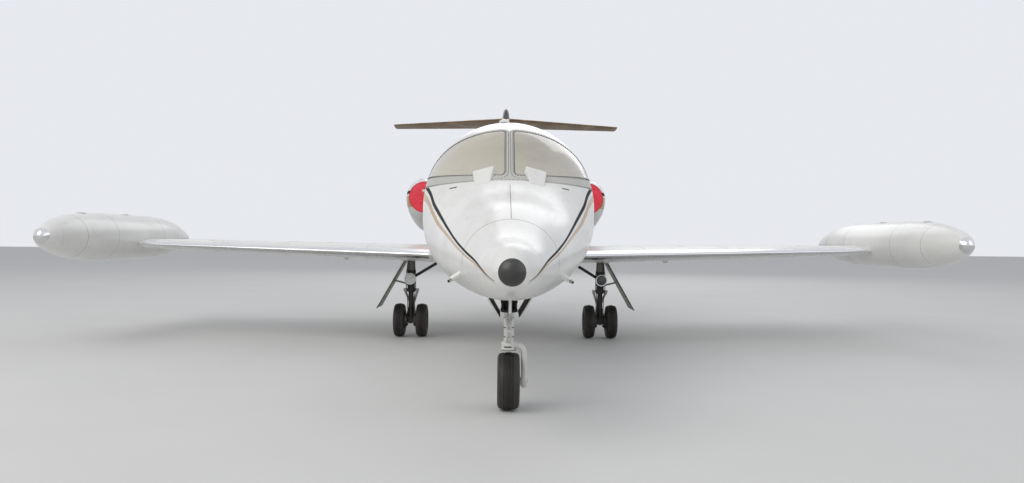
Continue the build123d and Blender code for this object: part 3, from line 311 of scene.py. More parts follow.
@cache
def lining_tree() -> bpy.types.NodeTree:
    """Where the inner face of the cabin's wall is, from the body's sections."""
    g = Group("lining", "Inside", Vector="Vector")
    x, y, z = g.split(g.given["Vector"])
    share = g.math("DIVIDE", g.math("SUBTRACT", y, NOSE_TIP), REACH)
    wide, middle, up, down = (height_curve(g, share, Cabin.SECTIONS, column) for column in range(1, 5))
    rise = g.math("SUBTRACT", z, middle)
    above = g.math("GREATER_THAN", rise, 0.0)
    masks = []
    for reach, flat in ((up, 0.0), (down, Cabin.SQUARENESS)):
        parts = []
        for place, half in ((x, wide), (rise, reach)):
            size = g.math("SUBTRACT", half, Cabin.HALF_WALL)
            past = g.math("MULTIPLY_ADD", size, -flat, g.math("ABSOLUTE", place))
            part = g.math("DIVIDE", g.math("MAXIMUM", past, 0.0), g.math("MULTIPLY", size, 1.0 - flat))
            parts.append(g.math("POWER", part, 2.0))
        masks.append(g.math("LESS_THAN", g.math("ADD", *parts), 1.0))
    over = g.math("MULTIPLY", masks[0], above)
    under = g.math("MULTIPLY", masks[1], g.math("SUBTRACT", 1.0, above))
    begun = g.math("GREATER_THAN", y, at(Cabin.START))
    ended = g.math("LESS_THAN", y, at(Cabin.END))
    return g.give(Inside=g.math("MULTIPLY", g.math("ADD", over, under), g.math("MULTIPLY", begun, ended)))


REACH = 14.0
CEILING = 4.0


def height_curve(g: Graph, share: Socket, rows: Sequence[Point], column: int) -> Socket:
    """A height that follows the stations, as a Float Curve node.

    Args:
        g: The graph that takes it in.
        share: A station as a share of REACH.
        rows: A station and heights for each point.
        column: Which of the heights.

    Returns:
        The height, in metres.
    """
    node = g.add("ShaderNodeFloatCurve", {"Value": share})
    line = node.mapping.curves[0]
    while len(line.points) < len(rows):
        line.points.new(0.5, 0.5)
    for point, row in zip(line.points, rows):
        point.location = (row[0] / REACH, row[column] / CEILING)
        point.handle_type = "AUTO_CLAMPED"
    node.mapping.update()
    return g.math("MULTIPLY", node.outputs[0], CEILING)


class Cabin:
    """The body's sections round the cabin: station, half width, middle, height above it, depth below it."""

    HALF_WALL = 0.030
    SQUARENESS = 0.155
    START = 2.35
    END = 7.15
    SECTIONS = (
        (0.01, 0.600, 1.335, 0.410, 0.490),
        (2.15, 0.612, 1.335, 0.417, 0.493),
        (2.60, 0.712, 1.470, 0.545, 0.632),
        (3.05, 0.783, 1.580, 0.705, 0.744),
        (3.70, 0.815, 1.646, 0.806, 0.812),
        (4.30, 0.815, 1.646, 0.810, 0.812),
        (7.20, 0.812, 1.648, 0.808, 0.812),
        (13.9, 0.812, 1.648, 0.808, 0.812),
    )


class Livery:
    """Where the two bands lie: rows of station, lower edge and upper edge."""

    EDGE = 0.0015
    BLACK = (
        (0.12, 1.048, 1.054),
        (0.37, 1.121, 1.133),
        (0.86, 1.203, 1.219),
        (1.45, 1.318, 1.336),
        (1.95, 1.425, 1.446),
        (2.36, 1.545, 1.573),
        (2.82, 1.708, 1.742),
        (3.45, 1.792, 1.834),
        (4.20, 1.895, 1.943),
        (5.00, 1.970, 2.020),
        (13.9, 1.970, 2.020),
    )
    GOLD = (
        (0.12, 1.032, 1.036),
        (0.33, 1.101, 1.111),
        (0.86, 1.182, 1.195),
        (1.37, 1.272, 1.290),
        (2.08, 1.405, 1.434),
        (2.30, 1.473, 1.506),
        (2.76, 1.613, 1.664),
        (3.45, 1.672, 1.768),
        (4.20, 1.735, 1.870),
        (5.00, 1.775, 1.943),
        (13.9, 1.775, 1.943),
    )


class Finish:
    """What all finishes share: a material made once, with a Principled shader to feed."""

    name: str

    @cache
    def material(self) -> bpy.types.Material:
        """The finish's material."""
        made = bpy.data.materials.new(self.name)
        made.use_nodes = True
        g = Graph(made.node_tree)
        self.dress(g, g.tree.nodes["Principled BSDF"], g.add("ShaderNodeTexCoord").outputs["Object"])
        return made

    def dress(self, g: Graph, shader: bpy.types.Node, place: Socket) -> None:
        """Feed the shader. Each kind of finish says how."""
        raise NotImplementedError


@dataclass(frozen=True)
class Paint(Finish):
    """Gloss or satin paint that has stood outdoors."""

    name: str
    colour: Colour
    grime_colour: Colour = (0.30, 0.27, 0.20)
    streaks: float = 0.35
    specks: float = 0.4
    roughness: float = 0.24
    coat: float = 0.4
    bands: bool = False
    lined: bool = False

    def dress(self, g: Graph, shader: bpy.types.Node, place: Socket) -> None:
        """Tone, grime, chips and the two bands."""
        weather = g.group(weather_tree(), Vector=place, Streaks=self.streaks, Specks=self.specks)
        dull = tuple(0.90 * c for c in self.colour)
        colour = g.blend(g.ramp(weather["Tone"], 0.35, 0.65), dull, self.colour)
        if self.bands:
            livery = g.group(livery_tree(), Vector=place)
            colour = g.blend(livery["Gold"], colour, (0.47, 0.30, 0.13))
            colour = g.blend(livery["Black"], colour, (0.010, 0.009, 0.009))
        colour = g.blend(g.math("MULTIPLY", weather["Grime"], 0.5), colour, self.grime_colour)
        colour = g.blend(weather["Speck"], colour, (0.05, 0.045, 0.04))
        rough = g.math("MULTIPLY_ADD", weather["Grime"], 0.35, self.roughness, clamp=True)
        coat = self.coat
        if self.bands:
            rough = g.math("MULTIPLY_ADD", livery["Black"], 0.55, rough, clamp=True)
            coat = g.math("MULTIPLY_ADD", livery["Black"], -self.coat, self.coat)
        if self.lined:
            inside = g.group(lining_tree(), Vector=place)["Inside"]
            thread = g.group(weave_tree(), Vector=place, Threads=500.0)["Thread"]
            cloth = g.blend(thread, (0.44, 0.40, 0.32), (0.56, 0.51, 0.42))
            colour = g.blend(inside, colour, cloth)
            rough = g.math("MULTIPLY_ADD", inside, 0.6, rough, clamp=True)
            coat = g.math("MULTIPLY", coat, g.math("SUBTRACT", 1.0, inside))
        g.feed(shader, Base_Color=colour, Roughness=rough, Coat_Weight=coat, Coat_Roughness=0.12)
        g.bump(shader, weather["Height"], 0.0012)


@dataclass(frozen=True)
class Leaf(Finish):
    """Gear door paint: pale outside and on its edges, black on the side that faces the wheel."""

    name: str
    top: tuple[float, float]
    low: tuple[float, float]
    outer: Colour = (0.70, 0.70, 0.66)
    inner: Colour = (0.016, 0.015, 0.015)
    skin: float = 0.003

    def dress(self, g: Graph, shader: bpy.types.Node, place: Socket) -> None:
        """Split the colour at the plate's own plane, and weather both sides."""
        run = Vector((self.low[0] - self.top[0], self.low[1] - self.top[1])).normalized()
        outward = Vector((-run.y, run.x))
        x, _, z = g.split(place)
        across = g.math("SUBTRACT", g.math("ABSOLUTE", x), self.top[0])
        rise = g.math("SUBTRACT", z, self.top[1])
        depth = g.math("MULTIPLY_ADD", across, outward.x, g.math("MULTIPLY", rise, outward.y))
        facing = g.math("LESS_THAN", depth, -self.skin)
        weather = g.group(weather_tree(), Vector=place, Streaks=0.7, Specks=0.8)
        colour = g.blend(facing, self.outer, self.inner)
        colour = g.blend(g.math("MULTIPLY", weather["Grime"], 0.5), colour, (0.30, 0.27, 0.20))
        rough = g.math("MULTIPLY_ADD", facing, 0.2, 0.36)
        g.feed(shader, Base_Color=colour, Roughness=rough)
        g.bump(shader, weather["Height"], 0.0012)


@dataclass(frozen=True)
class Metal(Finish):
    """Bare, polished or heat-stained metal."""

    name: str
    colour: Colour
    worn_colour: Colour
    roughness: float = 0.2
    wear: float = 0.6
    scale: float = 1.0

    def dress(self, g: Graph, shader: bpy.types.Node, place: Socket) -> None:
        """Scratches over stained metal."""
        scuffs = g.group(scuff_tree(), Vector=place, Amount=self.wear, Scale=self.scale)
        colour = g.blend(scuffs["Wear"], self.colour, self.worn_colour)
        rough = g.math("MULTIPLY_ADD", scuffs["Wear"], 0.3, self.roughness, clamp=True)
        g.feed(shader, Base_Color=colour, Roughness=rough, Metallic=1.0)
        g.bump(shader, scuffs["Height"], 0.0002)


@dataclass(frozen=True)
class Rubber(Finish):
    """Tyre and seal rubber, with dust in its low parts."""

    name: str
    colour: Colour = (0.022, 0.021, 0.020)
    dust: float = 0.22
    top: float = 0.5

    def dress(self, g: Graph, shader: bpy.types.Node, place: Socket) -> None:
        """Grain and pale dust."""
        dust = g.group(dust_tree(), Vector=place, Top=self.top, Amount=self.dust)[0]
        colour = g.blend(dust, self.colour, (0.13, 0.11, 0.085))
        grain = g.noise(place, 420.0, 3.0, 0.6)
        cracks = g.add("ShaderNodeTexVoronoi", {"Vector": place, "Scale": 90.0}, feature="DISTANCE_TO_EDGE")
        height = g.math("MULTIPLY_ADD", g.ramp(cracks.outputs["Distance"], 0.0, 0.05), 0.4, grain)
        g.feed(shader, Base_Color=colour, Roughness=g.math("MULTIPLY_ADD", dust, 0.25, 0.62, clamp=True))
        g.bump(shader, height, 0.0006)


@dataclass(frozen=True)
class Pane(Finish):
    """Acrylic glazing: clear where new, milky and yellowed where old."""

    name: str
    colour: Colour
    # the colour of the glass's shaded side: painted shade
    far_colour: Colour
    alpha: float
    roughness: float = 0.12

    def dress(self, g: Graph, shader: bpy.types.Node, place: Socket) -> None:
        """Painted shade that darkens the glass from one side to the other, and haze that differs from top to
        bottom.
        """
        x, _, z = g.split(place)
        # painted shade: the glass ramps across x from its lit colour to its shaded colour
        across = g.ramp(x, -0.35, 0.35)
        colour = g.blend(across, self.colour, self.far_colour)
        cloud = g.noise(g.stretch(place, (2.0, 2.0, 3.0)), 2.2, 4.0, 0.6)
        low = g.ramp(z, 1.85, 2.15, 1.0, 0.0)
        haze = g.math("MULTIPLY_ADD", cloud, 0.5, g.math("MULTIPLY", low, 0.35), clamp=True)
        pale = g.blend(haze, colour, (0.60, 0.56, 0.47))
        craze = g.add("ShaderNodeTexVoronoi", {"Vector": place, "Scale": 60.0}, feature="DISTANCE_TO_EDGE")
        fine = g.ramp(craze.outputs["Distance"], 0.0, 0.03, 1.0, 0.0)
        rough = g.math("MULTIPLY_ADD", haze, 0.22, self.roughness, clamp=True)
        g.feed(shader, Base_Color=pale, Roughness=rough, Alpha=self.alpha, Coat_Weight=0.6, Coat_Roughness=0.06)
        g.bump(shader, g.math("MULTIPLY_ADD", fine, -0.15, cloud), 0.0015)


@dataclass(frozen=True)
class Cloth(Finish):
    """Seat cloth, hide or a sewn cover."""

    name: str
    colour: Colour
    dark: Colour
    threads: float = 900.0
    roughness: float = 0.8
    sheen: float = 0.3
    coat: float = 0.0

    def dress(self, g: Graph, shader: bpy.types.Node, place: Socket) -> None:
        """Threads, soft creases and faded patches."""
        thread = g.group(weave_tree(), Vector=place, Threads=self.threads)[0]
        patch = g.noise(place, 6.0, 4.0, 0.6)
        colour = g.blend(g.ramp(patch, 0.35, 0.7), self.dark, self.colour)
        colour = g.blend(g.math("MULTIPLY", thread, 0.25), colour, self.dark)
        rough = g.math("MULTIPLY_ADD", patch, 0.15, self.roughness - 0.08, clamp=True)
        g.feed(shader, Base_Color=colour, Roughness=rough, Sheen_Weight=self.sheen, Coat_Weight=self.coat)
        creases = g.noise(g.stretch(place, (3.0, 3.0, 7.0)), 4.0, 3.0, 0.55)
        g.bump(shader, g.math("MULTIPLY_ADD", thread, 0.12, creases), 0.004)


@dataclass(frozen=True)
class Moulded(Finish):
    """Grained plastic, dull paint or dark hollows."""

    name: str
    colour: Colour
    roughness: float = 0.55
    grain: float = 300.0
    dust: float = 0.25

    def dress(self, g: Graph, shader: bpy.types.Node, place: Socket) -> None:
        """Fine grain with a little dust."""
        grain = g.noise(place, self.grain, 3.0, 0.6)
        patch = g.noise(place, 9.0, 4.0, 0.6)
        dust = g.math("MULTIPLY", g.ramp(patch, 0.48, 0.8), self.dust)
        colour = g.blend(dust, self.colour, (0.33, 0.30, 0.25))
        g.feed(shader, Base_Color=colour, Roughness=g.math("MULTIPLY_ADD", dust, 0.3, self.roughness, clamp=True))
        g.bump(shader, grain, 0.0004)


@dataclass(frozen=True)
class Lens(Finish):
    """Ribbed lamp glass."""

    name: str
    colour: Colour
    ribs: float = 160.0

    def dress(self, g: Graph, shader: bpy.types.Node, place: Socket) -> None:
        """Upright ribs under dusty glass."""
        x, _, _ = g.split(place)
        wave = g.math("ABSOLUTE", g.math("SINE", g.math("MULTIPLY", x, self.ribs)))
        dust = g.ramp(g.noise(place, 30.0, 4.0), 0.4, 0.8)
        colour = g.blend(dust, self.colour, tuple(0.7 * c for c in self.colour))
        g.feed(shader, Base_Color=colour, Roughness=g.math("MULTIPLY_ADD", dust, 0.2, 0.12), Coat_Weight=0.7)
        g.bump(shader, wave, 0.0015)


WHITE = Paint("white_skin", (0.80, 0.80, 0.775), roughness=0.30, coat=0.25, bands=True)
WHITE_LINED = Paint("white_cabin", (0.80, 0.80, 0.775), roughness=0.30, coat=0.25, bands=True, lined=True)
WHITE_PLAIN = Paint("white_plain", (0.80, 0.80, 0.775), streaks=0.3, roughness=0.30, coat=0.25)
GEAR_WHITE = Paint("gear_white", (0.72, 0.72, 0.68), streaks=0.8, specks=1.0, roughness=0.36, coat=0.1)
FRAME_GREY = Paint("frame_grey", (0.50, 0.50, 0.47), streaks=0.45, roughness=0.36, coat=0.0)
BLACK = Paint("black_radome", (0.035, 0.033, 0.032), (0.16, 0.15, 0.12), streaks=0.5, roughness=0.38, coat=0.15)
GEAR_GREY = Paint("gear_grey", (0.20, 0.195, 0.165), (0.06, 0.05, 0.04), streaks=0.9, roughness=0.45, coat=0.0)
GEAR_BLACK = Paint("gear_black", (0.025, 0.024, 0.023), (0.14, 0.12, 0.09), streaks=0.7, roughness=0.5, coat=0.0)
RED_VINYL = Cloth("red_vinyl", (0.92, 0.035, 0.075), (0.78, 0.022, 0.050), threads=700.0, roughness=0.5, coat=0.2)
DARK_RED = Cloth("dark_red_web", (0.50, 0.015, 0.030), (0.36, 0.010, 0.020), threads=900.0, roughness=0.6)
TAG_CLOTH = Cloth("tag_cloth", (0.82, 0.80, 0.70), (0.66, 0.63, 0.52), threads=900.0)
HIDE = Cloth("seat_hide", (0.40, 0.30, 0.19), (0.27, 0.20, 0.12), threads=350.0, roughness=0.55)
LINING = Cloth("cabin_lining", (0.55, 0.50, 0.41), (0.44, 0.40, 0.32), threads=500.0, roughness=0.9)
CARPET = Cloth("carpet", (0.20, 0.15, 0.11), (0.12, 0.09, 0.07), threads=300.0, roughness=0.95)
CHROME = Metal("chrome", (0.80, 0.80, 0.81), (0.55, 0.53, 0.50), roughness=0.08, wear=0.4)
ALLOY = Metal("alloy", (0.62, 0.62, 0.61), (0.38, 0.36, 0.33), roughness=0.28, wear=0.7)
BRONZED = Metal("bronzed_alloy", (0.33, 0.24, 0.15), (0.16, 0.11, 0.07), roughness=0.34, wear=0.8, scale=0.6)
POLISHED = Metal("polished_edge", (0.78, 0.79, 0.80), (0.60, 0.60, 0.59), roughness=0.16, wear=0.5, scale=0.4)
HOT_STEEL = Metal("hot_steel", (0.40, 0.35, 0.29), (0.16, 0.13, 0.12), roughness=0.32, wear=0.9, scale=0.5)
DARK_STEEL = Metal("dark_steel", (0.12, 0.115, 0.11), (0.05, 0.045, 0.04), roughness=0.5, wear=0.8)
TYRE = Rubber("tyre_rubber")
SEAL = Rubber("seal_rubber", dust=0.2, top=0.1)
# each pane's second colour is painted shade on its side towards +x
SHIELD_PANE = Pane("shield_pane", (0.47, 0.43, 0.32), (0.31, 0.28, 0.22), 0.90)
CABIN_PANE = Pane("cabin_pane", (0.13, 0.12, 0.10), (0.11, 0.10, 0.09), 0.55, roughness=0.06)
TRIM = Moulded("dark_trim", (0.045, 0.045, 0.048))
DIAL = Moulded("dial_face", (0.012, 0.012, 0.013), roughness=0.35)
SEAM = Moulded("seam_dark", (0.10, 0.095, 0.085), roughness=0.8)
# painted light: the landing lamps share one glass, given as a pale lit copy and a dark painted shade copy
LIT_LENS = Lens("lamp_lens", (0.80, 0.83, 0.78))
SHADED_LENS = Lens("lamp_lens_dark", (0.045, 0.045, 0.042))
BEACON = Lens("beacon_red", (0.50, 0.02, 0.02), ribs=300.0)
GREEN_LAMP = Lens("lamp_green", (0.02, 0.30, 0.10), ribs=300.0)
NOSE_LEAF = Leaf("nose_door_paint", (0.150, 0.880), (0.072, 0.745))
MAIN_LEAF = Leaf("main_door_paint", (1.318, 1.030), (1.672, 0.395), inner=(0.44, 0.43, 0.37))


class Shape:
    """Collects one piece's vertices and faces in the row frame."""

    def __init__(self, name: str) -> None:
        """Start an empty piece."""
        self.name = name
        self.verts: list[Vector] = []
        self.faces: list[tuple[int, ...]] = []

    def grid(self, rings: Sequence[Sequence[Point]], closed: bool = True, caps: bool = True) -> None:
        """Skin a row of rings with four-sided faces.

        Args:
            rings: Rings of equally many points, in order.
            closed: Whether each ring's last point joins its first.
            caps: Whether the first and last rings are filled.
        """
        first = len(self.verts)
        count = len(rings[0])
        for ring in rings:
            self.verts.extend(Vector(p) for p in ring)
        span = count if closed else count - 1
        for row in range(len(rings) - 1):
            for i in range(span):
                a = first + row * count + i
                b = first + row * count + (i + 1) % count
                self.faces.append((a, b, b + count, a + count))
        if caps and closed:
            self.faces.append(tuple(first + i for i in reversed(range(count))))
            last = first + (len(rings) - 1) * count
            self.faces.append(tuple(last + i for i in range(count)))

    def tube(self, path: Sequence[Point], radius: float | Sequence[float], sides: int = 14) -> None:
        """A round bar or hose along a path, with one radius or one for each point."""
        points = [Vector(p) for p in path]
        sizes = [radius] * len(points) if isinstance(radius, (int, float)) else list(radius)
        across = None
        rings = []
        for i, point in enumerate(points):
            before = points[max(i - 1, 0)]
            after = points[min(i + 1, len(points) - 1)]
            run = (after - before).normalized()
            if across is None:
                across = run.orthogonal().normalized()
            across = (across - run * across.dot(run)).normalized()
            rings.append(circle(point, across, run.cross(across), sizes[i], sides))
        self.grid(rings)

    def bar(self, middle: Vector, reach: Point, radius: float, sides: int = 16) -> None:
        """A round bar that reaches as far to both sides of its middle."""
        self.tube([middle - Vector(reach), middle + Vector(reach)], radius, sides)

    def turned(
        self, profile: Sequence[tuple[float, float]], origin: Point, axis: Point, steps: int = 40,
        ring: bool = False,
    ) -> None:
        """A turned form.

        Args:
            profile: Distance along the axis and radius of each corner.
            origin: The point that distances are taken from.
            axis: The direction of the axis.
            steps: How many faces go round.
            ring: Whether the profile's end joins its start, as on a hoop, instead of closing at the axis.
        """
        run = Vector(axis).normalized()
        across = run.orthogonal().normalized()
        rings = [
            circle(Vector(origin) + run * along, across, run.cross(across), max(radius, 0.0002), steps)
            for along, radius in profile
        ]
        self.grid(rings + rings[:1] if ring else rings, caps=not ring)

    def block(self, low: Point, high: Point) -> None:
        """A box between two corners."""
        (x0, y0, z0), (x1, y1, z1) = low, high
        foot = [Vector(corner) for corner in ((x0, y0, z0), (x1, y0, z0), (x1, y1, z0), (x0, y1, z0))]
        self.grid([foot, [corner + Vector((0, 0, z1 - z0)) for corner in foot]])

    def sided(self, side: Side) -> "Shape":
        """The piece named for a side: as it is for the left, and turned over for the right."""
        made = Shape(f"{self.name}_{side.word}")
        made.verts = [side.cross(v) for v in self.verts]
        made.faces = self.faces if side is Side.LEFT else [tuple(reversed(f)) for f in self.faces]
        return made

    def mesh(self, name: str) -> bpy.types.Mesh:
        """Its plain mesh."""
        mesh = bpy.data.meshes.new(name)
        mesh.from_pydata([tuple(v) for v in self.verts], [], self.faces)
        return mesh

    def add(self, other: "Shape") -> None:
        """Take in another shape's faces."""
        first = len(self.verts)
        self.verts.extend(other.verts)
        self.faces.extend(tuple(first + i for i in f) for f in other.faces)

    def finish(
        self, finish: Finish, body: Body | str, slot: str, bevel: float = 0.0, angle: float = 34.0,
        replaces: Sequence[str] = (), outward: bool = True,
    ) -> bpy.types.Object:
        """Make the piece, dress it and let it ride.

        Args:
            finish: The finish it wears.
            body: The body that carries it.
            slot: The record's material slot; passed on to dress(), which does not use it.
            bevel: The width of its softened edges, in metres.
            angle: The sharpest turn that still shades smoothly, in degrees.
            replaces: The frame's nodes that it stands for.
            outward: Whether its faces are turned to point outwards.

        Returns:
            The finished object.
        """
        mesh = self.mesh(self.name)
        if outward:
            work = bmesh.new()
            work.from_mesh(mesh)
            bmesh.ops.remove_doubles(work, verts=work.verts, dist=1e-6)
            bmesh.ops.recalc_face_normals(work, faces=work.faces)
            work.to_mesh(mesh)
            work.free()
        return dress(stand(self.name, mesh), finish, body, slot, bevel, angle, replaces)


def circle(centre: Vector, across: Vector, other: Vector, radius: float, count: int) -> list[Vector]:
    """Evenly spaced points of a circle in the plane of two directions."""
    turns = [2 * pi * i / count for i in range(count)]
    return [centre + (across * cos(turn) + other * sin(turn)) * radius for turn in turns]


def stand(name: str, data: bpy.types.ID) -> bpy.types.Object:
    """A new object in the scene for a mesh, a light or a camera."""
    made = bpy.data.objects.new(name, data)
    bpy.context.scene.collection.objects.link(made)
    return made


def dress(
    piece: bpy.types.Object, finish: Finish, body: Body | str, slot: str, bevel: float = 0.0,
    angle: float = 34.0, replaces: Sequence[str] = (),
) -> bpy.types.Object:
    """Soften, shade and colour a piece, and let it ride on its body.

    Args:
        piece: A mesh object at the origin.
        finish: The finish it wears.
        body: The body that carries it.
        slot: The record's material slot; not used.
        bevel: The width of its softened edges, in metres.
        angle: The sharpest turn that still shades smoothly, in degrees.
        replaces: The frame's nodes that it stands for.

    Returns:
        The same object.
    """
    if bevel:
        soften = piece.modifiers.new("edges", "BEVEL")
        soften.width = bevel
        soften.segments = 2
        soften.limit_method = "ANGLE"
        soften.angle_limit = radians(angle)
        bake(piece)
    shade(piece.data, angle)
    piece.data.materials.clear()
    piece.data.materials.append(finish.material())
    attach(piece, body.value if isinstance(body, Body) else body)
    if replaces:
        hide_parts(*replaces)
    return piece


def shade(mesh: bpy.types.Mesh, angle: float) -> None:
    """Shade a mesh smoothly, apart from edges sharper than an angle in degrees."""
    mesh.polygons.foreach_set("use_smooth", [True] * len(mesh.polygons))
    mesh.set_sharp_from_angle(angle=radians(angle))


def baked(piece: bpy.types.Object) -> bpy.types.Mesh:
    """A piece's mesh as its modifiers leave it."""
    bpy.context.view_layer.update()
    graph = bpy.context.evaluated_depsgraph_get()
    return bpy.data.meshes.new_from_object(piece.evaluated_get(graph))


def bake(piece: bpy.types.Object) -> None:
    """Apply a piece's modifiers to its mesh."""
    mesh = baked(piece)
    piece.modifiers.clear()
    piece.data = mesh


class Surface:
    """Finds points on the outside of some of the frame's nodes."""

    FAR = 6.0

    def __init__(self, *nodes: str) -> None:
        """Gather the nodes' triangles."""
        verts: list[Vector] = []
        faces: list[tuple[int, ...]] = []
        for node in nodes:
            mesh = frame["nodes"][node].data
            first = len(verts)
            verts.extend(v.co.copy() for v in mesh.vertices)
            faces.extend(tuple(first + i for i in p.vertices) for p in mesh.polygons)
        self.tree = BVHTree.FromPolygons(verts, faces)

    def cast(self, start: Point, toward: Point) -> Hit | None:
        """The first point and its outward normal on a ray, or None."""
        way = (Vector(toward) - Vector(start)).normalized()
        point, normal, _, _ = self.tree.ray_cast(Vector(start), way)
        if point is None:
            return None
        return point, (-normal if normal.dot(way) > 0 else normal)

    def side(self, y: float, z: float, side: Side) -> Hit | None:
        """The skin at a place seen straight from one side."""
        return self.cast((side.value * self.FAR, y, z), (0, y, z))

    def above(self, x: float, y: float, sign: int = 1) -> Hit | None:
        """The skin at a place seen straight from above, or from below with -1."""
        return self.cast((x, y, sign * self.FAR + 1), (x, y, 1))

    def round(self, y: float, angle: float, centre: Point) -> Hit | None:
        """The skin on a ray towards a lengthwise axis, at an angle in degrees from the top."""
        turn = radians(angle)
        x, z = centre
        out = (x + sin(turn) * self.FAR, y, z + cos(turn) * self.FAR)
        return self.cast(out, (x, y, z))

    def onto(self, place: Vector, normal: Vector) -> Hit:
        """The skin right under a place beside it, or the place itself where there is none."""
        return self.cast(place + normal * 0.08, place - normal * 0.08) or (place, normal)


def hits(found: Iterable[Hit | None]) -> list[Hit]:
    """Only the rays that met the skin."""
    return [hit for hit in found if hit is not None]


def spread(start: float, end: float, count: int) -> list[float]:
    """Evenly spaced values, both ends with them."""
    return [start + (end - start) * i / (count - 1) for i in range(count)]


def ribbon(shape: Shape, path: Sequence[Hit], low: float, high: float, lift: float, closed: bool = False) -> None:
    """A thin raised strap along a path on the skin.

    Args:
        shape: The piece that takes it in.
        path: Points and outward normals along the strap.
        low: Its near edge's distance from the path, in metres.
        high: Its far edge's distance from the path.
        lift: How far it stands above the skin.
        closed: Whether the path's end joins its start.
    """
    count = len(path)
    rings = []
    for i, (point, normal) in enumerate(path):
        before = path[i - 1][0] if i or closed else point
        after = path[(i + 1) % count][0] if i < count - 1 or closed else point
        across = normal.cross(after - before).normalized()
        rings.append([
            point + across * low - normal * lift, point + across * low + normal * lift,
            point + across * high + normal * lift, point + across * high - normal * lift,
        ])
    if closed:
        rings.append(rings[0])
    shape.grid(rings, caps=not closed)


def seam(
    shape: Shape, path: Sequence[Hit], half: float = 0.0014, lift: float = 0.0004, closed: bool = False,
) -> None:
    """The line of a joint along a path: a ribbon that reaches half its width to each side."""
    ribbon(shape, path, -half, half, lift, closed)


def beside(path: Sequence[Hit], along: float | Callable[[Vector], float], skin: Surface) -> list[Hit]:
    """A closed path moved across itself on the skin.

    Args:
        path: Points and outward normals.
        along: How far it moves, outwards where positive, or what gives that for each point.
        skin: The surface it stays on.

    Returns:
        The moved points and their normals.
    """
    moved = []
    count = len(path)
    for i, (point, normal) in enumerate(path):
        run = path[(i + 1) % count][0] - path[i - 1][0]
        reach = along(point) if callable(along) else along
        moved.append(skin.onto(point + normal.cross(run).normalized() * reach, normal))
    return moved


def strap(
    shape: Shape, path: Sequence[Hit], low: float, high: float | Callable[[Vector], float], lift: float,
    skin: Surface,
) -> None:
    """A flat strap that lies on the skin round a closed path.

    Args:
        shape: The piece that takes it in.
        path: Points and outward normals.
        low: Its inner edge's distance outside the path, in metres.
        high: Its outer edge's distance, or what gives that for each point.
        lift: How far it stands above the skin.
        skin: The surface it lies on.
    """
    edge = high if callable(high) else lambda point: high
    columns = [
        beside(path, lambda point, share=share: low + (edge(point) - low) * share, skin) for share in (0, 0.5, 1)
    ]
    rings = []
    for row in zip(*columns):
        over = [point + normal * lift for point, normal in row]
        under = [point - normal * lift for point, normal in reversed(row)]
        rings.append(over + under)
    shape.grid(rings + rings[:1], caps=False)


def rim_path(node: str, start: Point, toward: Point, step: float) -> list[Hit]:
    """The edge of the smooth face that a ray meets first on a node.

    Args:
        node: The frame's node.
        start: Where the ray starts.
        toward: A point it goes through.
        step: The distance between the points, in metres.

    Returns:
        Evenly spaced points and the face's normals, with the outside of the edge where beside() moves to.
    """
    work = bmesh.new()
    work.from_mesh(frame["nodes"][node].data)
    bmesh.ops.remove_doubles(work, verts=work.verts, dist=2e-5)
    work.faces.ensure_lookup_table()
    way = Vector(toward) - Vector(start)
    seed = work.faces[BVHTree.FromBMesh(work).ray_cast(Vector(start), way)[2]]
    found = {seed}
    queue = [seed]
    while queue:
        face = queue.pop()
        for edge in face.edges:
            for other in edge.link_faces:
                if other not in found and face.normal.angle(other.normal, pi) < radians(35):
                    found.add(other)
                    queue.append(other)
    ways: dict = {}
    for face in found:
        for loop in face.loops:
            if sum(other in found for other in loop.edge.link_faces) == 1:
                ways[loop.vert] = loop.link_loop_next.vert
    vert = max(ways, key=lambda v: (round(v.co.z, 4), v.co.x, v.co.y))
    path = []
    while vert in ways:
        normal = sum((face.normal for face in vert.link_faces if face in found), Vector())
        path.append((vert.co.copy(), normal.normalized()))
        vert = ways.pop(vert)
    work.free()
    path = even(path, step)
    if turns_inward(path):
        path.reverse()
    return path


def turns_inward(path: Sequence[Hit]) -> bool:
    """Whether beside() would move a path's points towards its own middle."""
    middle = sum((point for point, normal in path), Vector()) / len(path)
    total = 0.0
    for i, (point, normal) in enumerate(path):
        across = normal.cross(path[(i + 1) % len(path)][0] - path[i - 1][0])
        total += across.dot(point - middle)
    return total < 0


def even(path: Sequence[Hit], step: float) -> list[Hit]:
    """A closed path with its points at even distances."""
    count = len(path)
    lengths = [(path[(i + 1) % count][0] - path[i][0]).length for i in range(count)]
    parts = max(round(sum(lengths) / step), 8)
    spaced = []
    i, walked = 0, 0.0
    for part in range(parts):
        goal = sum(lengths) * part / parts
        while walked + lengths[i] < goal:
            walked += lengths[i]
            i += 1
        share = (goal - walked) / lengths[i]
        (here, normal), (there, other) = path[i], path[(i + 1) % count]
        spaced.append((here.lerp(there, share), normal.lerp(other, share).normalized()))
    return spaced


def smooth(path: Sequence[Point], parts: int = 6) -> list[Vector]:
    """A path's points with a rounded run through them."""
    points = [Vector(p) for p in path]
    ends = [points[0] * 2 - points[1], *points, points[-1] * 2 - points[-2]]
    made = []
    for a, b, c, d in zip(ends, ends[1:], ends[2:], ends[3:]):
        for step in range(parts):
            s = step / parts
            made.append(
                (b * 2 + (c - a) * s + (a * 2 - b * 5 + c * 4 - d) * s**2 + (b * 3 - a - c * 3 + d) * s**3) / 2
            )
    return made + [points[-1]]


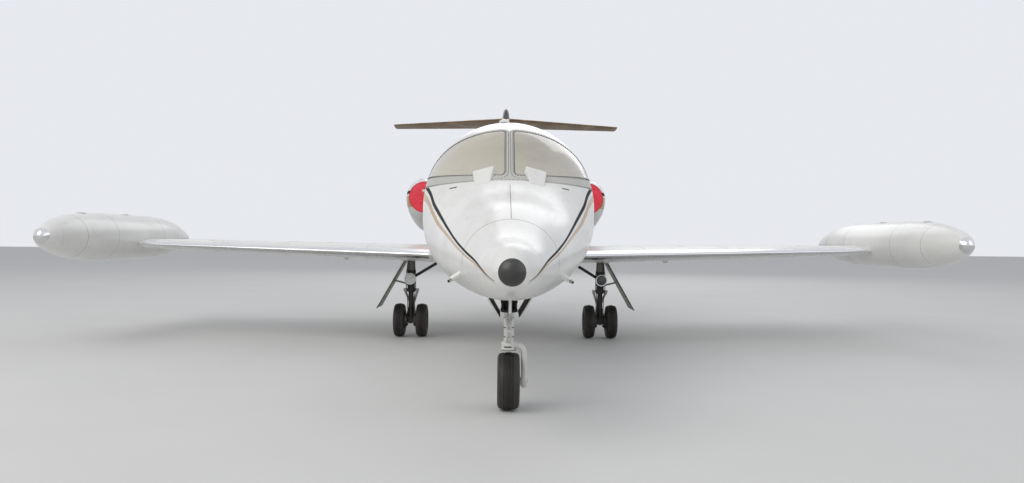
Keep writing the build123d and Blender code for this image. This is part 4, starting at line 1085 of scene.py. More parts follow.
@cache
def rivet_tree() -> bpy.types.NodeTree:
    """Rivet heads at an even pitch along the edges of a mesh, facing its out attribute."""
    g = Group("rivet_row", "Geometry", "Geometry", Geometry="Geometry", Pitch=0.025, Head_Radius=0.003,
              Head_Height=0.0012, Finish="Material")
    curve = g.add("GeometryNodeMeshToCurve", {"Mesh": g.given["Geometry"]}).outputs[0]
    sockets = {"Curve": curve, "Length": g.given["Pitch"]}
    points = g.add("GeometryNodeResampleCurve", sockets, mode="LENGTH").outputs[0]
    sockets = {"Vertices": 8, "Radius Top": 0.5, "Radius Bottom": 1.0, "Depth": 1.0}
    head = g.add("GeometryNodeMeshCone", sockets).outputs[0]
    out = g.add("GeometryNodeInputNamedAttribute", {"Name": "out"}, data_type="FLOAT_VECTOR").outputs[0]
    turn = g.add("FunctionNodeAlignRotationToVector", {"Vector": out}, axis="Z").outputs[0]
    radius, height = g.given["Head Radius"], g.given["Head Height"]
    size = g.add("ShaderNodeCombineXYZ", {0: radius, 1: radius, 2: height}).outputs[0]
    sockets = {"Points": points, "Instance": head, "Rotation": turn, "Scale": size}
    return g.real(g.add("GeometryNodeInstanceOnPoints", sockets).outputs[0])


@cache
def ring_tree() -> bpy.types.NodeTree:
    """Copies of a small mesh, evenly spaced on a circle in the x-y plane and turned with it."""
    g = Group("ring_of_parts", "Geometry", "Geometry", Geometry="Geometry", Count=8, Ring_Radius=0.1,
              Finish="Material")
    sockets = {"Vertices": g.given["Count"], "Radius": g.given["Ring Radius"]}
    points = g.add("GeometryNodeMeshCircle", sockets).outputs[0]
    place = g.add("GeometryNodeInputPosition").outputs[0]
    turn = g.add("FunctionNodeAlignRotationToVector", {"Vector": place}, axis="X").outputs[0]
    sockets = {"Points": points, "Instance": g.given["Geometry"], "Rotation": turn}
    return g.real(g.add("GeometryNodeInstanceOnPoints", sockets).outputs[0])


def repeat(source: bpy.types.Object, tree: bpy.types.NodeTree, **inputs: object) -> bpy.types.Mesh:
    """What a Geometry Nodes tree makes of a source object.

    Args:
        source: The object the tree starts from. It is removed.
        tree: The tree.
        **inputs: The tree's inputs, named with underscores for spaces.

    Returns:
        A plain mesh.
    """
    modifier = source.modifiers.new("repeat", "NODES")
    modifier.node_group = tree
    names = {item.name: item.identifier for item in tree.interface.items_tree if item.in_out == "INPUT"}
    for key, value in inputs.items():
        modifier[names[key.replace("_", " ")]] = value
    mesh = baked(source)
    bpy.data.objects.remove(source)
    return mesh


def rivet_rows(
    name: str, paths: Sequence[Sequence[Hit]], finish: Finish, body: Body, slot: str, pitch: float,
    radius: float, height: float,
) -> bpy.types.Object:
    """Rows of rivet heads along paths on the skin, as one piece.

    Args:
        name: The piece's name.
        paths: Points and outward normals of each row.
        finish: The heads' finish.
        body: The body that carries them.
        slot: The record's material slot; passed on to dress(), which does not use it.
        pitch: The distance between heads, in metres.
        radius: A head's radius.
        height: A head's height.

    Returns:
        The finished object.
    """
    verts: list[tuple] = []
    edges: list[tuple[int, int]] = []
    outs: list[float] = []
    for path in paths:
        first = len(verts)
        for point, normal in path:
            verts.append(tuple(point))
            outs.extend(normal)
        edges.extend((first + i, first + i + 1) for i in range(len(path) - 1))
    mesh = bpy.data.meshes.new(name)
    mesh.from_pydata(verts, edges, [])
    mesh.attributes.new("out", "FLOAT_VECTOR", "POINT").data.foreach_set("vector", outs)
    done = repeat(
        stand(f"{name}_rows", mesh), rivet_tree(), Pitch=pitch, Head_Radius=radius, Head_Height=height,
        Finish=finish.material(),
    )
    return dress(stand(name, done), finish, body, slot, angle=60.0)


@dataclass
class Pair:
    """A piece made for the left side, and what it wears and rides on both sides."""

    shape: Shape
    finish: Finish
    slot: str
    carrier: str = ""
    bevel: float = 0.0
    right: Finish | None = None


def on_both_sides(
    pairs: Sequence[Pair], rivets: str = "", rows: Sequence[Sequence[Hit]] = (), pitch: float = 0.0,
) -> None:
    """Make pieces and rows of flush rivets for the left side, then for the right.

    Args:
        pairs: The pieces.
        rivets: What the rivets' name starts with, or nothing where there are none.
        rows: Points and outward normals of each row on the left.
        pitch: The distance between rivets, in metres.
    """
    for side in Side:
        for pair in pairs:
            body = f"{pair.carrier}_{side.word}" if pair.carrier else Body.AIRFRAME
            finish = pair.right if pair.right and side is Side.RIGHT else pair.finish
            pair.shape.sided(side).finish(finish, body, pair.slot, pair.bevel)
        if rivets:
            used = [[(side.cross(point), side.cross(normal)) for point, normal in row] for row in rows]
            name = f"{rivets}_{side.word}"
            rivet_rows(name, used, WHITE_PLAIN, Body.AIRFRAME, "white_paint", pitch, *FLUSH_HEAD)


def ring_of(
    name: str, part: Shape, count: int, radius: float, centre: Point, axis: Point, finish: Finish,
) -> Shape:
    """Copies of a part on a circle round an axis, as a shape in the row frame.

    Args:
        name: The shape's name.
        part: One part at the origin: its x points away from the axis and its z along it.
        count: How many there are.
        radius: The circle's radius.
        centre: The circle's centre.
        axis: The direction of the axis.
        finish: The parts' finish.

    Returns:
        A shape that holds all the copies.
    """
    source = stand(f"{name}_part", part.mesh(name))
    done = repeat(source, ring_tree(), Count=count, Ring_Radius=radius, Finish=finish.material())
    turn = Vector((0, 0, 1)).rotation_difference(Vector(axis)).to_matrix().to_4x4()
    done.transform(Matrix.Translation(Vector(centre)) @ turn)
    shape = Shape(name)
    shape.verts = [v.co.copy() for v in done.vertices]
    shape.faces = [tuple(p.vertices) for p in done.polygons]
    bpy.data.meshes.remove(done)
    return shape


def bolt(radius: float, height: float, sides: int = 6) -> Shape:
    """One bolt head at the origin, standing along z."""
    shape = Shape("bolt")
    shape.turned([(0, radius), (0.75 * height, radius), (height, 0.82 * radius)], (0, 0, 0), (0, 0, 1), sides)
    return shape


@dataclass
class Fuselage:
    """The body's seams, rivets, hatches and fastenings."""

    joints: tuple[float, ...] = (0.90, 3.85, 7.20, 8.62, 10.05)
    frames: tuple[float, ...] = (3.62, 5.62, 6.42, 7.92, 9.35, 11.10)
    axis_height: float = 1.62
    seam_half_width: float = 0.0020
    skin: Surface = field(default_factory=lambda: Surface(
        "nose_cap", "nose_cone", "nose_section", "cockpit_shell", "cabin_shell_upper", "cabin_shell_lower",
        "tail_section", "door_upper", "door_lower", "windshield_panes",
    ))

    def centre(self, station: float) -> tuple[float, float]:
        """The x and z that rays aim at, at a station."""
        if station < 3.0:
            return 0.0, 1.105 + station * 0.155
        if station < 8.0:
            return 0.0, self.axis_height
        return 0.0, self.axis_height + (station - 8.0) * 0.085

    def ring(self, station: float, start: float, end: float, step: float = 4.0) -> list[Hit]:
        """A hoop round the body from one angle to another, in degrees from the top."""
        count = max(int(abs(end - start) / step), 2)
        return hits(self.skin.round(at(station), a, self.centre(station)) for a in spread(start, end, count))

    def line(self, angle: float, first: float, last: float, count: int = 60) -> list[Hit]:
        """A lengthwise line on the body at an angle from the top."""
        return hits(self.skin.round(at(s), angle, self.centre(s)) for s in spread(first, last, count))

    def seams(self) -> None:
        """Dark joints between the skins, and the hatch outlines."""
        shape = Shape("body_seams")
        half = self.seam_half_width
        for station in self.joints:
            seam(shape, self.ring(station, -180, 180, 3.0), half)
        seam(shape, self.line(0.3, 0.91, 2.11), half)
        for angle, first, last in ((62, 7.22, 10.0), (-62, 7.22, 10.0), (118, 3.87, 10.0), (-118, 3.87, 10.0)):
            seam(shape, self.line(angle, first, last), 0.6 * half)
        for sign in (1, -1):
            seam(shape, self.outline(7.45, 7.95, 142 * sign, 166 * sign), half, closed=True)
        seam(shape, self.outline(8.75, 9.45, 158, 202), half, closed=True)
        shape.finish(SEAM, Body.AIRFRAME, "white_paint", outward=False)

    def outline(self, first: float, last: float, low: float, high: float) -> list[Hit]:
        """A closed hatch outline between two stations and two angles."""
        count = 14
        path = [self.skin.round(at(s), low, self.centre(s)) for s in spread(first, last, count)]
        path += [self.skin.round(at(last), a, self.centre(last)) for a in spread(low, high, count)[1:]]
        path += [self.skin.round(at(s), high, self.centre(s)) for s in spread(last, first, count)[1:]]
        path += [self.skin.round(at(first), a, self.centre(first)) for a in spread(high, low, count)[1:-1]]
        return hits(path)

    def rivets(self) -> None:
        """Flush rivet lines beside the joints and over the frames."""
        rows = []
        for station in self.joints[1:]:
            rows += [self.ring(station - 0.018, -170, 170), self.ring(station + 0.018, -170, 170)]
        for station in self.frames:
            rows.append(self.ring(station, -170, 170))
        for angle in (100, -100):
            rows.append(self.line(angle, 7.3, 11.4))
        rivet_rows("body_rivets", rows, WHITE_PLAIN, Body.AIRFRAME, "white_paint", 0.032, 0.0026, 0.0004)

    def latches(self) -> None:
        """The small slots of the nose hatch's latches."""
        shape = Shape("nose_latches")
        for sign in (1, -1):
            near = self.skin.above(sign * 0.44, at(2.33))
            far = self.skin.above(sign * 0.50, at(2.385))
            ribbon(shape, [near, far], -0.008, 0.008, 0.0012)
        shape.finish(TRIM, Body.AIRFRAME, "trim_grey", outward=False)

    def build(self) -> None:
        """Make everything on the body's skin."""
        self.seams()
        self.rivets()
        self.latches()


@dataclass
class Windshield:
    """The riveted frame round the two large panes."""

    narrow: float = 0.038
    wide: float = 0.050
    sill: float = 0.108
    widens: tuple[float, float] = (0.045, 0.11)
    sill_top: tuple[float, float] = (1.880, 1.935)
    plate_half: float = 0.115
    rivet_inset: float = 0.009
    lift: float = 0.0016
    skin: Surface = field(default_factory=lambda: Surface("cockpit_shell", "windshield_panes", "nose_section"))

    def reach(self, point: Vector) -> float:
        """How far the frame reaches outside a pane: less beside the centre post, and more below the sill."""
        start, end = self.widens
        share = min(max((abs(point.x) - start) / (end - start), 0.0), 1.0)
        low, high = self.sill_top
        raised = min(max((point.z - low) / (high - low), 0.0), 1.0)
        wide = self.sill + (self.wide - self.sill) * raised
        return self.narrow + (wide - self.narrow) * share

    def front(self, x: float) -> float:
        """The front edge's station where one plate joins the two sides below the post."""
        return 2.210 + 0.72 * x * x

    def back(self, x: float) -> float:
        """The station that plate ends at: in the foot of the post, and under the sides beside it."""
        return 2.350 - min(max(abs(x) - 0.036, 0.0) * 2.2, 0.050)

    def build(self) -> None:
        """Make the frame, its rivets and the sealing beads."""
        straps, beads, rows = Shape("windshield_frame"), Shape("windshield_gaskets"), []
        for side in Side:
            x = 0.35 * side.value
            path = rim_path("windshield_panes", (x, at(-1.0), 1.98), (x, at(3.0), 1.98), 0.012)
            strap(straps, path, 0.002, self.reach, self.lift, self.skin)
            strap(beads, path, -0.004, 0.002, 0.0026, self.skin)
            for edge in (
                lambda point: self.rivet_inset, lambda point: self.reach(point) - self.rivet_inset,
            ):
                row = beside(path, edge, self.skin)
                rows.append(row + row[:1])
        across = spread(-self.plate_half, self.plate_half, 24)
        columns = []
        for x in across:
            line = hits(self.skin.above(x, at(station)) for station in spread(self.front(x), self.back(x), 7))
            low = 0.8 * self.lift
            columns.append([p + n * low for p, n in line] + [p - n * low for p, n in reversed(line)])
        straps.grid(columns)
        front = [x for x in across if abs(x) < 0.07]
        rows.append(hits(self.skin.above(x, at(self.front(x) + self.rivet_inset)) for x in front))
        straps.finish(FRAME_GREY, Body.AIRFRAME, "white_paint")
        beads.finish(SEAL, Body.AIRFRAME, "trim_grey")
        rivet_rows("windshield_rivets", rows, SEAM, Body.AIRFRAME, "trim_grey", 0.027, 0.0058, 0.0048)


@dataclass
class Glazing:
    """Trim round the cabin windows."""

    height: float = 1.870
    door_station: float = 4.255
    places: tuple[tuple[Side, float], ...] = (
        (Side.LEFT, 5.20), (Side.LEFT, 6.00), (Side.RIGHT, 4.255), (Side.RIGHT, 5.20), (Side.RIGHT, 6.00),
    )
    skin: Surface = field(default_factory=lambda: Surface(
        "cabin_shell_upper", "cabin_windows", "door_upper", "door_window", "cabin_shell_lower", "door_lower",
    ))

    def trims(self, name: str, node: str, places: Sequence[tuple[Side, float]], body: Body) -> None:
        """Seals and polished frames round some windows, with their screws.

        Args:
            name: What the pieces' names start with.
            node: The node that holds the panes.
            places: Side and station of each.
            body: The body that carries them.
        """
        seal, trim = Shape(f"{name}_seals"), Shape(f"{name}_frames")
        rows = []
        for side, station in places:
            outside = (side.value * 3.0, at(station), self.height)
            path = rim_path(node, outside, (0, at(station), self.height), 0.018)
            strap(seal, path, -0.005, 0.003, 0.0022, self.skin)
            strap(trim, path, 0.003, 0.022, 0.0018, self.skin)
            row = beside(path, 0.0125, self.skin)
            rows.append(row + row[:1])
        seal.finish(SEAL, body, "trim_grey")
        trim.finish(ALLOY, body, "white_alloy")
        rivet_rows(f"{name}_screws", rows, CHROME, body, "chrome", 0.042, 0.0035, 0.0030)

    def build(self) -> None:
        """Make the trim of the fixed windows and of the door's window."""
        self.trims("window", "cabin_windows", self.places, Body.AIRFRAME)
        self.trims("door_window", "door_window", [(Side.LEFT, self.door_station)], Body.DOOR_UPPER)


@dataclass
class TurnedWheel:
    """A tyre with grooves and a wheel with bolts, turned about a level axle."""

    name: str
    body: Body
    centres: tuple[Point, ...]
    tyre_node: str
    bead: float
    wide: float
    crown: float
    radius: float = 0.220
    rim_radius: float = 0.112
    groove_depth: float = 0.006
    steps: int = 72

    def profile(self) -> list[tuple[float, float]]:
        """The tyre's section: distance along the axle, and radius."""
        shoulder = self.rim_radius + 0.55 * (self.radius - self.rim_radius)
        half = [
            (self.bead, self.rim_radius), (self.bead + 0.006, self.rim_radius + 0.008),
            (0.5 * (self.bead + self.wide) + 0.008, self.rim_radius + 0.024),
            (self.wide - 0.0045, shoulder - 0.022), (self.wide - 0.0005, shoulder),
            (self.wide - 0.005, shoulder + 0.020), (self.wide - 0.014, shoulder + 0.034),
            (self.crown + 0.002, self.radius - 0.0085),
        ]
        tread = []
        for x in (0.74, 0.40, 0.08):
            edge, width = x * self.crown, 0.0055
            tread += [
                (edge + width, self.lift(edge + width)), (edge + 0.7 * width, self.lift(edge) - self.groove_depth),
                (edge - 0.7 * width, self.lift(edge) - self.groove_depth), (edge - width, self.lift(edge - width)),
            ]
        right = half + tread
        return right + [(-x, r) for x, r in reversed(right)]

    def lift(self, x: float) -> float:
        """The crown's radius at a distance from the middle."""
        return self.radius - 0.008 * (x / self.crown) ** 2

    def tyres(self) -> None:
        """The rubber of every wheel of this set, as one piece."""
        shape = Shape(f"{self.name}_tread")
        turns = [2 * pi * i / self.steps for i in range(self.steps)]
        for centre in self.centres:
            rings = [
                [Vector(centre) + Vector((along, cos(turn) * radius, sin(turn) * radius)) for turn in turns]
                for along, radius in self.profile()
            ]
            shape.grid(rings + rings[:1], caps=False)
        shape.finish(TYRE, self.body, "tyre", angle=40, replaces=[self.tyre_node])

    def fittings(self) -> None:
        """Tie bolts, valve and the hub's dust cap on each wheel."""
        shape = Shape(f"{self.name}_bolts")
        for centre in self.centres:
            for sign in (1, -1):
                place = Vector(centre) + Vector((sign * 0.016, 0, 0))
                shape.add(ring_of("bolts", bolt(0.0075, 0.010), 9, 0.077, place, (sign, 0, 0), CHROME))
                valve = Vector(centre) + Vector((sign * 0.016, 0.086 * sign, 0.0))
                shape.tube([valve, valve + Vector((sign * 0.022, 0, 0))], 0.004, 8)
        shape.finish(CHROME, self.body, "chrome", angle=30)

    def build(self) -> None:
        """Make the tyres and what is bolted to the wheels."""
        self.tyres()
        self.fittings()


@dataclass
class Seats:
    """Padded seats, swollen by a short cloth simulation and copied to their places."""

    floor: float = 1.080
    top: float = 1.410
    thick: float = 0.130
    deep: float = 0.460
    back_thick: float = 0.110
    back_top: float = 1.840
    wide: float = 0.46
    rake: float = 0.070
    head_top: float = 1.990
    head_rake: float = 0.020
    voxel: float = 0.014
    cap: float = 0.012
    crew: tuple[tuple[float, float, float], ...] = ((-0.33, 3.18, 0.44), (0.33, 3.18, 0.44))
    cabin: tuple[tuple[float, float, float], ...] = (
        (-0.40, 4.85, 0.47), (0.40, 4.85, 0.47), (-0.40, 5.78, 0.47), (0.40, 5.78, 0.47),
        (-0.27, 6.54, 0.53), (0.27, 6.54, 0.53),
    )

    def pad(self, name: str, size: Point) -> bpy.types.Mesh:
        """A block of a size, crowned and swollen as a stuffed cushion is.

        Args:
            name: The mesh's name.
            size: Its width, length and thickness in metres.

        Returns:
            A mesh round the origin.
        """
        shrink = 0.010
        shape = Shape(name)
        half = [s / 2 - shrink for s in size]
        shape.block([-h for h in half], half)
        piece = stand(name, shape.mesh(name))
        soft = piece.modifiers.new("round", "BEVEL")
        soft.width = min(half) * 0.62
        soft.segments = 4
        remesh = piece.modifiers.new("even", "REMESH")
        remesh.mode = "VOXEL"
        remesh.voxel_size = self.voxel
        bake(piece)
        self.swell(piece)
        smooth = piece.modifiers.new("smooth", "SUBSURF")
        smooth.levels = smooth.render_levels = 1
        bake(piece)
        done = piece.data
        bpy.data.objects.remove(piece)
        return done

    def swell(self, piece: bpy.types.Object) -> None:
        """Fill a pad with pressure for a few frames, and cap how far its points go."""
        start = [v.co.copy() for v in piece.data.vertices]
        cloth = piece.modifiers.new("fill", "CLOTH")
        cloth.settings.use_pressure = True
        cloth.settings.uniform_pressure_force = 4.0
        cloth.settings.effector_weights.gravity = 0.0
        cloth.settings.quality = 4
        for step in range(1, 16):
            bpy.context.scene.frame_set(step)
        bake(piece)
        bpy.context.scene.frame_set(1)
        for vert, before in zip(piece.data.vertices, start):
            move = vert.co - before
            if move.length > self.cap:
                vert.co = before + move.normalized() * self.cap

    def place(self, mesh: bpy.types.Mesh, name: str, turn: Matrix, stretch: float) -> bpy.types.Object:
        """One cushion at its place, as a padded piece."""
        copy = mesh.copy()
        copy.transform(turn @ Matrix.Diagonal((stretch, 1.0, 1.0, 1.0)))
        piece = dress(stand(name, copy), HIDE, Body.AIRFRAME, "seat_hide", angle=60)
        return piece

    def frames(self, name: str, rows: Sequence[tuple[float, float, float]]) -> Shape:
        """Bases and side rails under and beside the cushions."""
        shape = Shape(name)
        for x, station, width in rows:
            y = at(station)
            base = 0.3 * width
            shape.block((x - base, y + 0.07, self.floor), (x + base, y + 0.39, self.top - self.thick - 0.004))
            for side in (-1, 1):
                rail = x + side * (width / 2 - 0.012)
                shape.block((rail - 0.010, y + 0.03, self.top - self.thick - 0.02),
                            (rail + 0.010, y + 0.43, self.top - self.thick + 0.012))
        return shape

    def build(self) -> None:
        """Make the cushions once, then set them in every seat."""
        cushion = self.pad("cushion", (self.wide, self.deep, self.thick))
        back_rise, head_rise = self.back_top - self.top, self.head_top - self.back_top
        back = self.pad("backrest", (self.wide, hypot(self.rake, back_rise), self.back_thick))
        head = self.pad("headrest", (0.28, head_rise, 0.86 * self.back_thick))
        for group, rows in (("crew_seats", self.crew), ("cabin_seats", self.cabin)):
            for index, (x, station, width) in enumerate(rows):
                y = at(station)
                stretch = 0.99 * width / self.wide
                seat = Matrix.Translation((x, y + self.deep / 2 - 0.002, self.top - self.thick / 2))
                self.place(cushion, f"{group}_cushion_{index + 1}", seat, stretch)
                foot = Vector((x, y + self.deep - self.back_thick / 2, self.top))
                neck = foot + Vector((0, self.rake, back_rise))
                for name, mesh, low, lean, wide in (
                    ("back", back, foot, Vector((0, self.rake, back_rise)), stretch),
                    ("head", head, neck, Vector((0, self.head_rake, head_rise)), 1.0),
                ):
                    turn = Matrix.Rotation(pi / 2 - lean.angle(Vector((0, 0, 1))), 4, "X")
                    spot = Matrix.Translation(low + lean / 2)
                    self.place(mesh, f"{group}_{name}_{index + 1}", spot @ turn, wide)
            base = self.frames(f"{group}_bases", rows)
            base.finish(TRIM, Body.AIRFRAME, "trim_grey", bevel=0.004, replaces=[group])
            self.belts(group, rows)

    def belts(self, group: str, rows: Sequence[tuple[float, float, float]]) -> None:
        """Lap straps laid over the cushions, with a buckle each."""
        straps, metal = Shape(f"{group}_belts"), Shape(f"{group}_buckles")
        for x, station, width in rows:
            y = at(station) + 0.27
            for side in (-1, 1):
                ends = [
                    Vector((x + side * width * 0.47, y + 0.05, self.top - 0.01)),
                    Vector((x + side * width * 0.40, y, self.top + 0.018)),
                    Vector((x + side * width * 0.18, y - 0.03, self.top + 0.020)),
                    Vector((x + side * 0.03, y - 0.04, self.top + 0.022)),
                ]
                corners = ((-0.024, 0), (0.024, 0), (0.024, 0.003), (-0.024, 0.003))
                straps.grid([[end + Vector((0, s, h)) for s, h in corners] for end in ends])
            metal.block((x - 0.032, y - 0.067, self.top + 0.020), (x + 0.032, y - 0.013, self.top + 0.032))
        straps.finish(CARPET, Body.AIRFRAME, "seat_hide")
        metal.finish(CHROME, Body.AIRFRAME, "chrome", bevel=0.003)


@dataclass
class InletCovers:
    """Padded vinyl covers in the inlets, with piped rims, grab straps and a tag."""

    axis: tuple[float, float] = (1.217, 1.923)
    start: float = 8.05
    radius: float = 0.231
    plug_radius: float = 0.2147
    depth: float = 0.160
    facets: int = 72
    piping: tuple[float, float, float] = (0.2275, 0.0125, 0.0042)
    tag: tuple[float, float] = (-1.226, 2.035)
    flat: tuple[float, float] = (0.060, 0.075)

    def disc(self) -> list[tuple[float, float]]:
        """The cover's section: distance aft and radius, crowned, with a stitched channel near its rim."""
        r = self.radius
        return [
            (0.000, 0.0), (0.0008, 0.07), (0.003, 0.14), (0.007, 0.190), (0.0115, 0.2065), (0.0075, 0.2095),
            (0.006, 0.214), (0.009, r - 0.008), (0.016, r - 0.002), (0.026, r), (0.040, r - 0.001),
            (0.0495, r - 0.006), (0.050, self.plug_radius), (self.depth, self.plug_radius), (self.depth, 0.0),
        ]

    def build(self) -> None:
        """Make a cover for each inlet, then the trim on both."""
        piping, webs = Shape("cover_piping"), Shape("cover_straps")
        for side in Side:
            x, z = side.value * self.axis[0], self.axis[1]
            front = Vector((x, at(self.start), z))
            cover = Shape(f"inlet_cover_{side.word}")
            cover.turned(self.disc(), front, (0, 1, 0), self.facets)
            cover.finish(RED_VINYL, Body.AIRFRAME, "red_cover", angle=50)
            turns = [2 * pi * i / self.facets for i in range(self.facets + 1)]
            radius, aft, thick = self.piping
            piping.tube([front + Vector((cos(a) * radius, aft, sin(a) * radius)) for a in turns], thick, 10)
            for rise in (0.062, -0.062):
                arch = [
                    (-0.085, -0.004), (-0.078, 0.004), (-0.045, 0.020), (0, 0.025), (0.045, 0.020), (0.078, 0.004),
                    (0.085, -0.004),
                ]
                loop = [front + Vector((across, -lift, rise)) for across, lift in arch]
                corners = ((0, -0.014), (0, 0.014), (0.003, 0.014), (0.003, -0.014))
                webs.grid([[point + Vector((0, y, h)) for y, h in corners] for point in loop])
        piping.finish(DARK_RED, Body.AIRFRAME, "red_cover")
        webs.finish(RED_VINYL, Body.AIRFRAME, "red_cover", replaces=["inlet_plugs"])
        self.flag()

    def flag(self) -> None:
        """The pale tag that hangs on the cover of the aircraft's right inlet."""
        x, z = self.tag
        wide, long = self.flat
        rows = []
        for down in spread(0.0, 1.0, 8):
            swing = 0.006 * sin(down * 5.0)
            half, y = wide / 2 * (1 - 0.25 * down), at(self.start) - 0.008
            columns = spread(-1.0, 1.0, 6)
            rows.append([(x + across * half, y - swing * across, z - down * long) for across in columns])
        tag = Shape("cover_tag")
        tag.grid(rows, closed=False, caps=False)
        piece = tag.finish(TAG_CLOTH, Body.AIRFRAME, "red_cover", outward=False)


@dataclass
class MainGear:
    """What shows on each main leg: lamps, torque arms, collars, pipes and brakes."""

    x: float = 1.255
    station: float = 6.63
    axle: float = 0.220
    wheel_offset: float = 0.147
    knee: Point = (0.0, 0.135, 0.440)
    links: tuple[float, float] = (0.620, 0.270)
    spreads: tuple[float, float] = (0.088, 0.050)
    lamp: tuple[float, float, float] = (6.47, 0.772, 0.073)

    def arms(self) -> Shape:
        """The torque arms: two V-shaped forgings that meet at the knee."""
        shape = Shape("torque_arms")
        knee = Vector((self.x, at(self.station) + self.knee[1], self.knee[2]))
        for height in self.links:
            root = Vector((self.x, at(self.station) + 0.020, height))
            wide = self.spreads[0] if height > self.knee[2] else self.spreads[1]
            for side in (-1, 1):
                start = root + Vector((side * wide, 0, 0))
                end = knee + Vector((side * 0.024, 0, 0))
                middle = start.lerp(end, 0.5)
                shape.tube([start, middle, end], [0.0190, 0.0150, 0.0165], 12)
            shape.bar(root, (wide + 0.012, 0, 0), 0.019)
        shape.bar(knee, (0.036, 0, 0), 0.0175)
        return shape

    def collars(self) -> tuple[Shape, Shape]:
        """The painted upper cylinder, and the dark glands and clamps on the leg."""
        sleeve, dark = Shape("leg_sleeve"), Shape("leg_glands")
        foot = (self.x, at(self.station), 0.0)
        sleeve.turned([(0.880, 0.050), (0.882, 0.0514), (0.998, 0.0514), (1.000, 0.050)], foot, (0, 0, 1), 32)
        for low, high, radius in (
            (0.842, 0.880, 0.0560), (0.700, 0.716, 0.0540), (0.600, 0.640, 0.0565), (0.588, 0.602, 0.0440),
            (0.372, 0.386, 0.0395), (0.262, 0.290, 0.0440),
        ):
            edge = 0.003
            dark.turned([
                (low, radius - 0.012), (low, radius - edge), (low + edge, radius), (high - edge, radius),
                (high, radius - edge), (high, radius - 0.012),
            ], foot, (0, 0, 1), 32)
        return sleeve, dark

    def pipes(self) -> Shape:
        """Hard brake pipes clipped along the leg, one to each brake."""
        shape = Shape("brake_pipes")
        y = at(self.station)
        for side in (-1, 1):
            route = [
                (0.046, -0.024, 0.985), (0.052, -0.026, 0.90), (0.060, -0.030, 0.86), (0.062, -0.034, 0.74),
                (0.060, -0.036, 0.63), (0.052, -0.040, 0.58), (0.043, -0.042, 0.50), (0.040, -0.042, 0.38),
                (0.042, -0.044, 0.31), (0.058, -0.048, 0.275), (0.070, -0.046, 0.262),
            ]
            shape.tube([(self.x + side * px, y + py, pz) for px, py, pz in smooth(route)], 0.0052, 10)
        return shape

    def brakes(self) -> tuple[Shape, Shape]:
        """Piston housings, discs and bleed blocks on both brakes."""
        irons, discs = Shape("brake_pistons"), Shape("brake_discs")
        y = at(self.station)
        for side in (-1, 1):
            inner = Vector((self.x + side * 0.048, y, self.axle))
            irons.add(ring_of("pistons", bolt(0.0135, 0.012, 16), 7, 0.064, inner, (-side, 0, 0), DARK_STEEL))
            section = [(-0.002, 0.083), (-0.002, 0.0875), (0.002, 0.0875), (0.002, 0.083)]
            for along in (0.0555, 0.0655, 0.0755):
                discs.turned(section, (self.x + side * along, y, self.axle), (1, 0, 0), 48)
            irons.block(
                (self.x + side * 0.068 - 0.016, y - 0.064, self.axle + 0.026),
                (self.x + side * 0.068 + 0.016, y - 0.036, self.axle + 0.062),
            )
        return irons, discs

    def lamps(self) -> tuple[Shape, Shape, Shape]:
        """The bezel, the domed lens and the bracket of a landing lamp."""
        station, height, radius = self.lamp
        face = (self.x, at(station), height)
        bezel, lens, bracket = Shape("lamp_bezel"), Shape("lamp_lens"), Shape("lamp_bracket")
        bezel.turned([
            (0.012, radius), (0.010, radius + 0.003), (-0.004, radius + 0.003), (-0.007, radius),
            (-0.006, radius - 0.008), (0.001, radius - 0.010), (0.002, radius - 0.004),
        ], face, (0, 1, 0), 48, ring=True)
        lens.turned([
            (0.0006, 0.0), (0.0006, radius - 0.010), (-0.003, 0.052), (-0.006, 0.032), (-0.007, 0.0),
        ], face, (0, 1, 0), 48)
        for side in (-1, 1):
            bracket.block(
                (self.x + side * 0.040 - 0.006, at(station) + 0.052, height - 0.022),
                (self.x + side * 0.040 + 0.006, at(self.station) - 0.020, height + 0.022),
            )
        bracket.block(
            (self.x - 0.046, at(station) + 0.060, height - 0.090),
            (self.x + 0.046, at(station) + 0.076, height - 0.060),
        )
        return bezel, lens, bracket

    def build(self) -> None:
        """Make the left leg's pieces, and turn each over for the right."""
        bezel, lens, bracket = self.lamps()
        sleeve, glands = self.collars()
        pistons, discs = self.brakes()
        on_both_sides([
            Pair(self.arms(), GEAR_WHITE, "white_paint"), Pair(sleeve, GEAR_GREY, "black_paint"),
            Pair(glands, GEAR_BLACK, "black_alloy"), Pair(self.pipes(), DARK_STEEL, "bare_metal"),
            Pair(pistons, DARK_STEEL, "black_alloy"), Pair(discs, HOT_STEEL, "hot_steel"),
            # painted light: the right lamp's lens is the pale lit copy, the left lamp's the dark painted shade
            # copy
            Pair(bezel, CHROME, "chrome"), Pair(lens, SHADED_LENS, "lamp_glass", right=LIT_LENS),
            Pair(bracket, GEAR_BLACK, "black_alloy", bevel=0.003),
        ])


